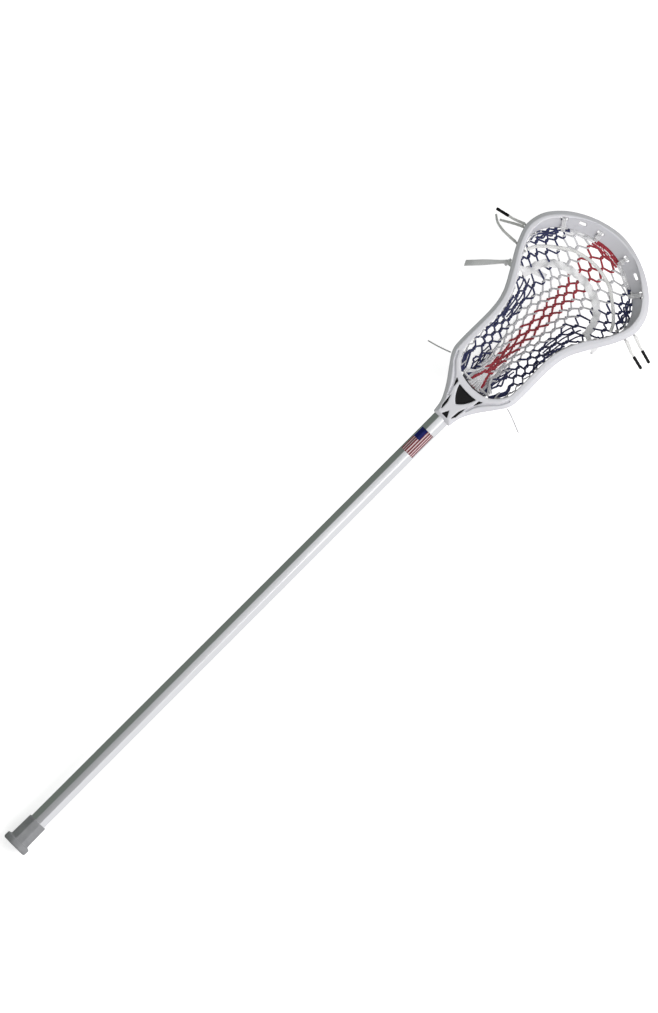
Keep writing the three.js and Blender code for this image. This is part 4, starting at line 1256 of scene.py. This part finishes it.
def make_shooting_strap():
    """A flat strap threaded through the net, so it narrows and rolls at each strand it passes."""
    plan = catmull(mirrored(SHOOTING_STRAP), 16)
    beat = distances(plan) / STRAP_BEAT * np.pi
    path = np.column_stack([plan, net_z(*plan.T) + 2.9 + 0.8 * np.sin(beat)])
    flat = unit(np.cross((0, 0, 1), np.gradient(path, axis=0)))
    roll = 0.6 * np.sin(beat + 0.9)
    across = flat * np.cos(roll)[:, None] + np.outer(np.sin(roll), (0, 0, 1.0))
    widths = STRAP_HALF_WIDTH * (1.72 - 0.36 * np.abs(np.sin(beat)))
    bundle = Bundle().add(ribbon(path, widths, across))
    under = catmull(STRAP_UNDER, 8)
    under = np.column_stack([under, net_z(*under.T) - 2.4])
    bundle.add(ribbon(under, 3.6, (1, 0.3, 0)))
    for end in (STRAP_END[0], STRAP_KNOT):
        bundle.add(ribbon(over_the_rail(end), 3.2, (0.88, math.copysign(0.47, end[1]), 0)))
        turn = np.linspace(0, 2 * np.pi, 25)
        ring = np.column_stack([end[0] + 4.8 * np.cos(turn), np.full(25, end[1] * 0.985),
                                end[2] + 1.6 * np.sin(turn)])
        bundle.add(ribbon(ring, 1.7, (0, 1, 0)))
    bundle.piece("shooting_strap_band", "webbing", "shooting_strap")


make_shooting_lace()
make_shooting_strap()

# ---- studio ------------------------------------------------------------------------------------

FLOOR_SIZE, FLOOR_GLOW = 6.0, 0.6


def make_floor():
    mesh = bpy.data.meshes.new("floor")
    corners = [(x * FLOOR_SIZE, y * FLOOR_SIZE, 0) for x, y in ((-1, -1), (1, -1), (1, 1), (-1, 1))]
    mesh.from_pydata(corners, [], [(0, 1, 2, 3)])
    floor = link("floor", mesh)
    n = Look("floor_paper", Roughness=0.9, Emission_Color=(1, 1, 1), Emission_Strength=FLOOR_GLOW)
    grain = n.node("TexNoise", Vector=n.node("TexCoord").outputs["Object"], Scale=3.0, Detail=3.0,
                   Roughness=0.55, Distortion=0.0).outputs["Fac"]
    n.feed(n.shader.inputs["Base Color"], n.mix(grain, (0.90, 0.90, 0.90), (0.93, 0.93, 0.93)))
    mesh.materials.append(n.material)
    floor.visible_glossy = False
    floor.visible_diffuse = False


def make_world():
    """Soft surroundings, bright on the -Y side and dark on the +Y side, brighter towards +X above."""
    world = bpy.data.worlds.new("studio")
    bpy.context.scene.world = world
    n = Nodes(world)
    x, y, z = n.node("SeparateXYZ", Vector=n.node("TexCoord").outputs["Generated"]).outputs
    sides = n.remap(y, -0.9, 0.9, 0.95, 0.19)
    above = n.remap(x, -0.33, 0.13, 0.21, 0.25)
    height = n.remap(z, 0.55, 0.92, interpolation_type="SMOOTHSTEP")
    blend = n.node("Mix")
    for k, value in ((0, height), (2, sides), (3, above)):
        n.feed(blend.inputs[k], value)
    tint = n.remap(y, 0.2, 0.9, 1.0, 0.86)
    background = n.tree.nodes["Background"]
    n.feed(background.inputs["Strength"], blend.outputs[0])
    n.feed(background.inputs["Color"], n.node("CombineColor", Red=tint, Green=0.99, Blue=tint).outputs[0])


def make_light(name, place, target, size, power):
    data = bpy.data.lights.new(name, "AREA")
    data.shape, data.size, data.energy = "DISK", size, power
    light = link(name, data)
    light.location = place
    light.rotation_euler = (Vector(target) - Vector(place)).to_track_quat("-Z", "Y").to_euler()


make_floor()
make_world()
make_light("key", (0.50, -1.15, 2.0), (0.2, 0, 0), 1.9, 26)
make_light("overhead", (0.45, -0.05, 1.3), (0.35, 0, 0), 1.8, 3.2)
bpy.context.scene.view_settings.view_transform = "Standard"
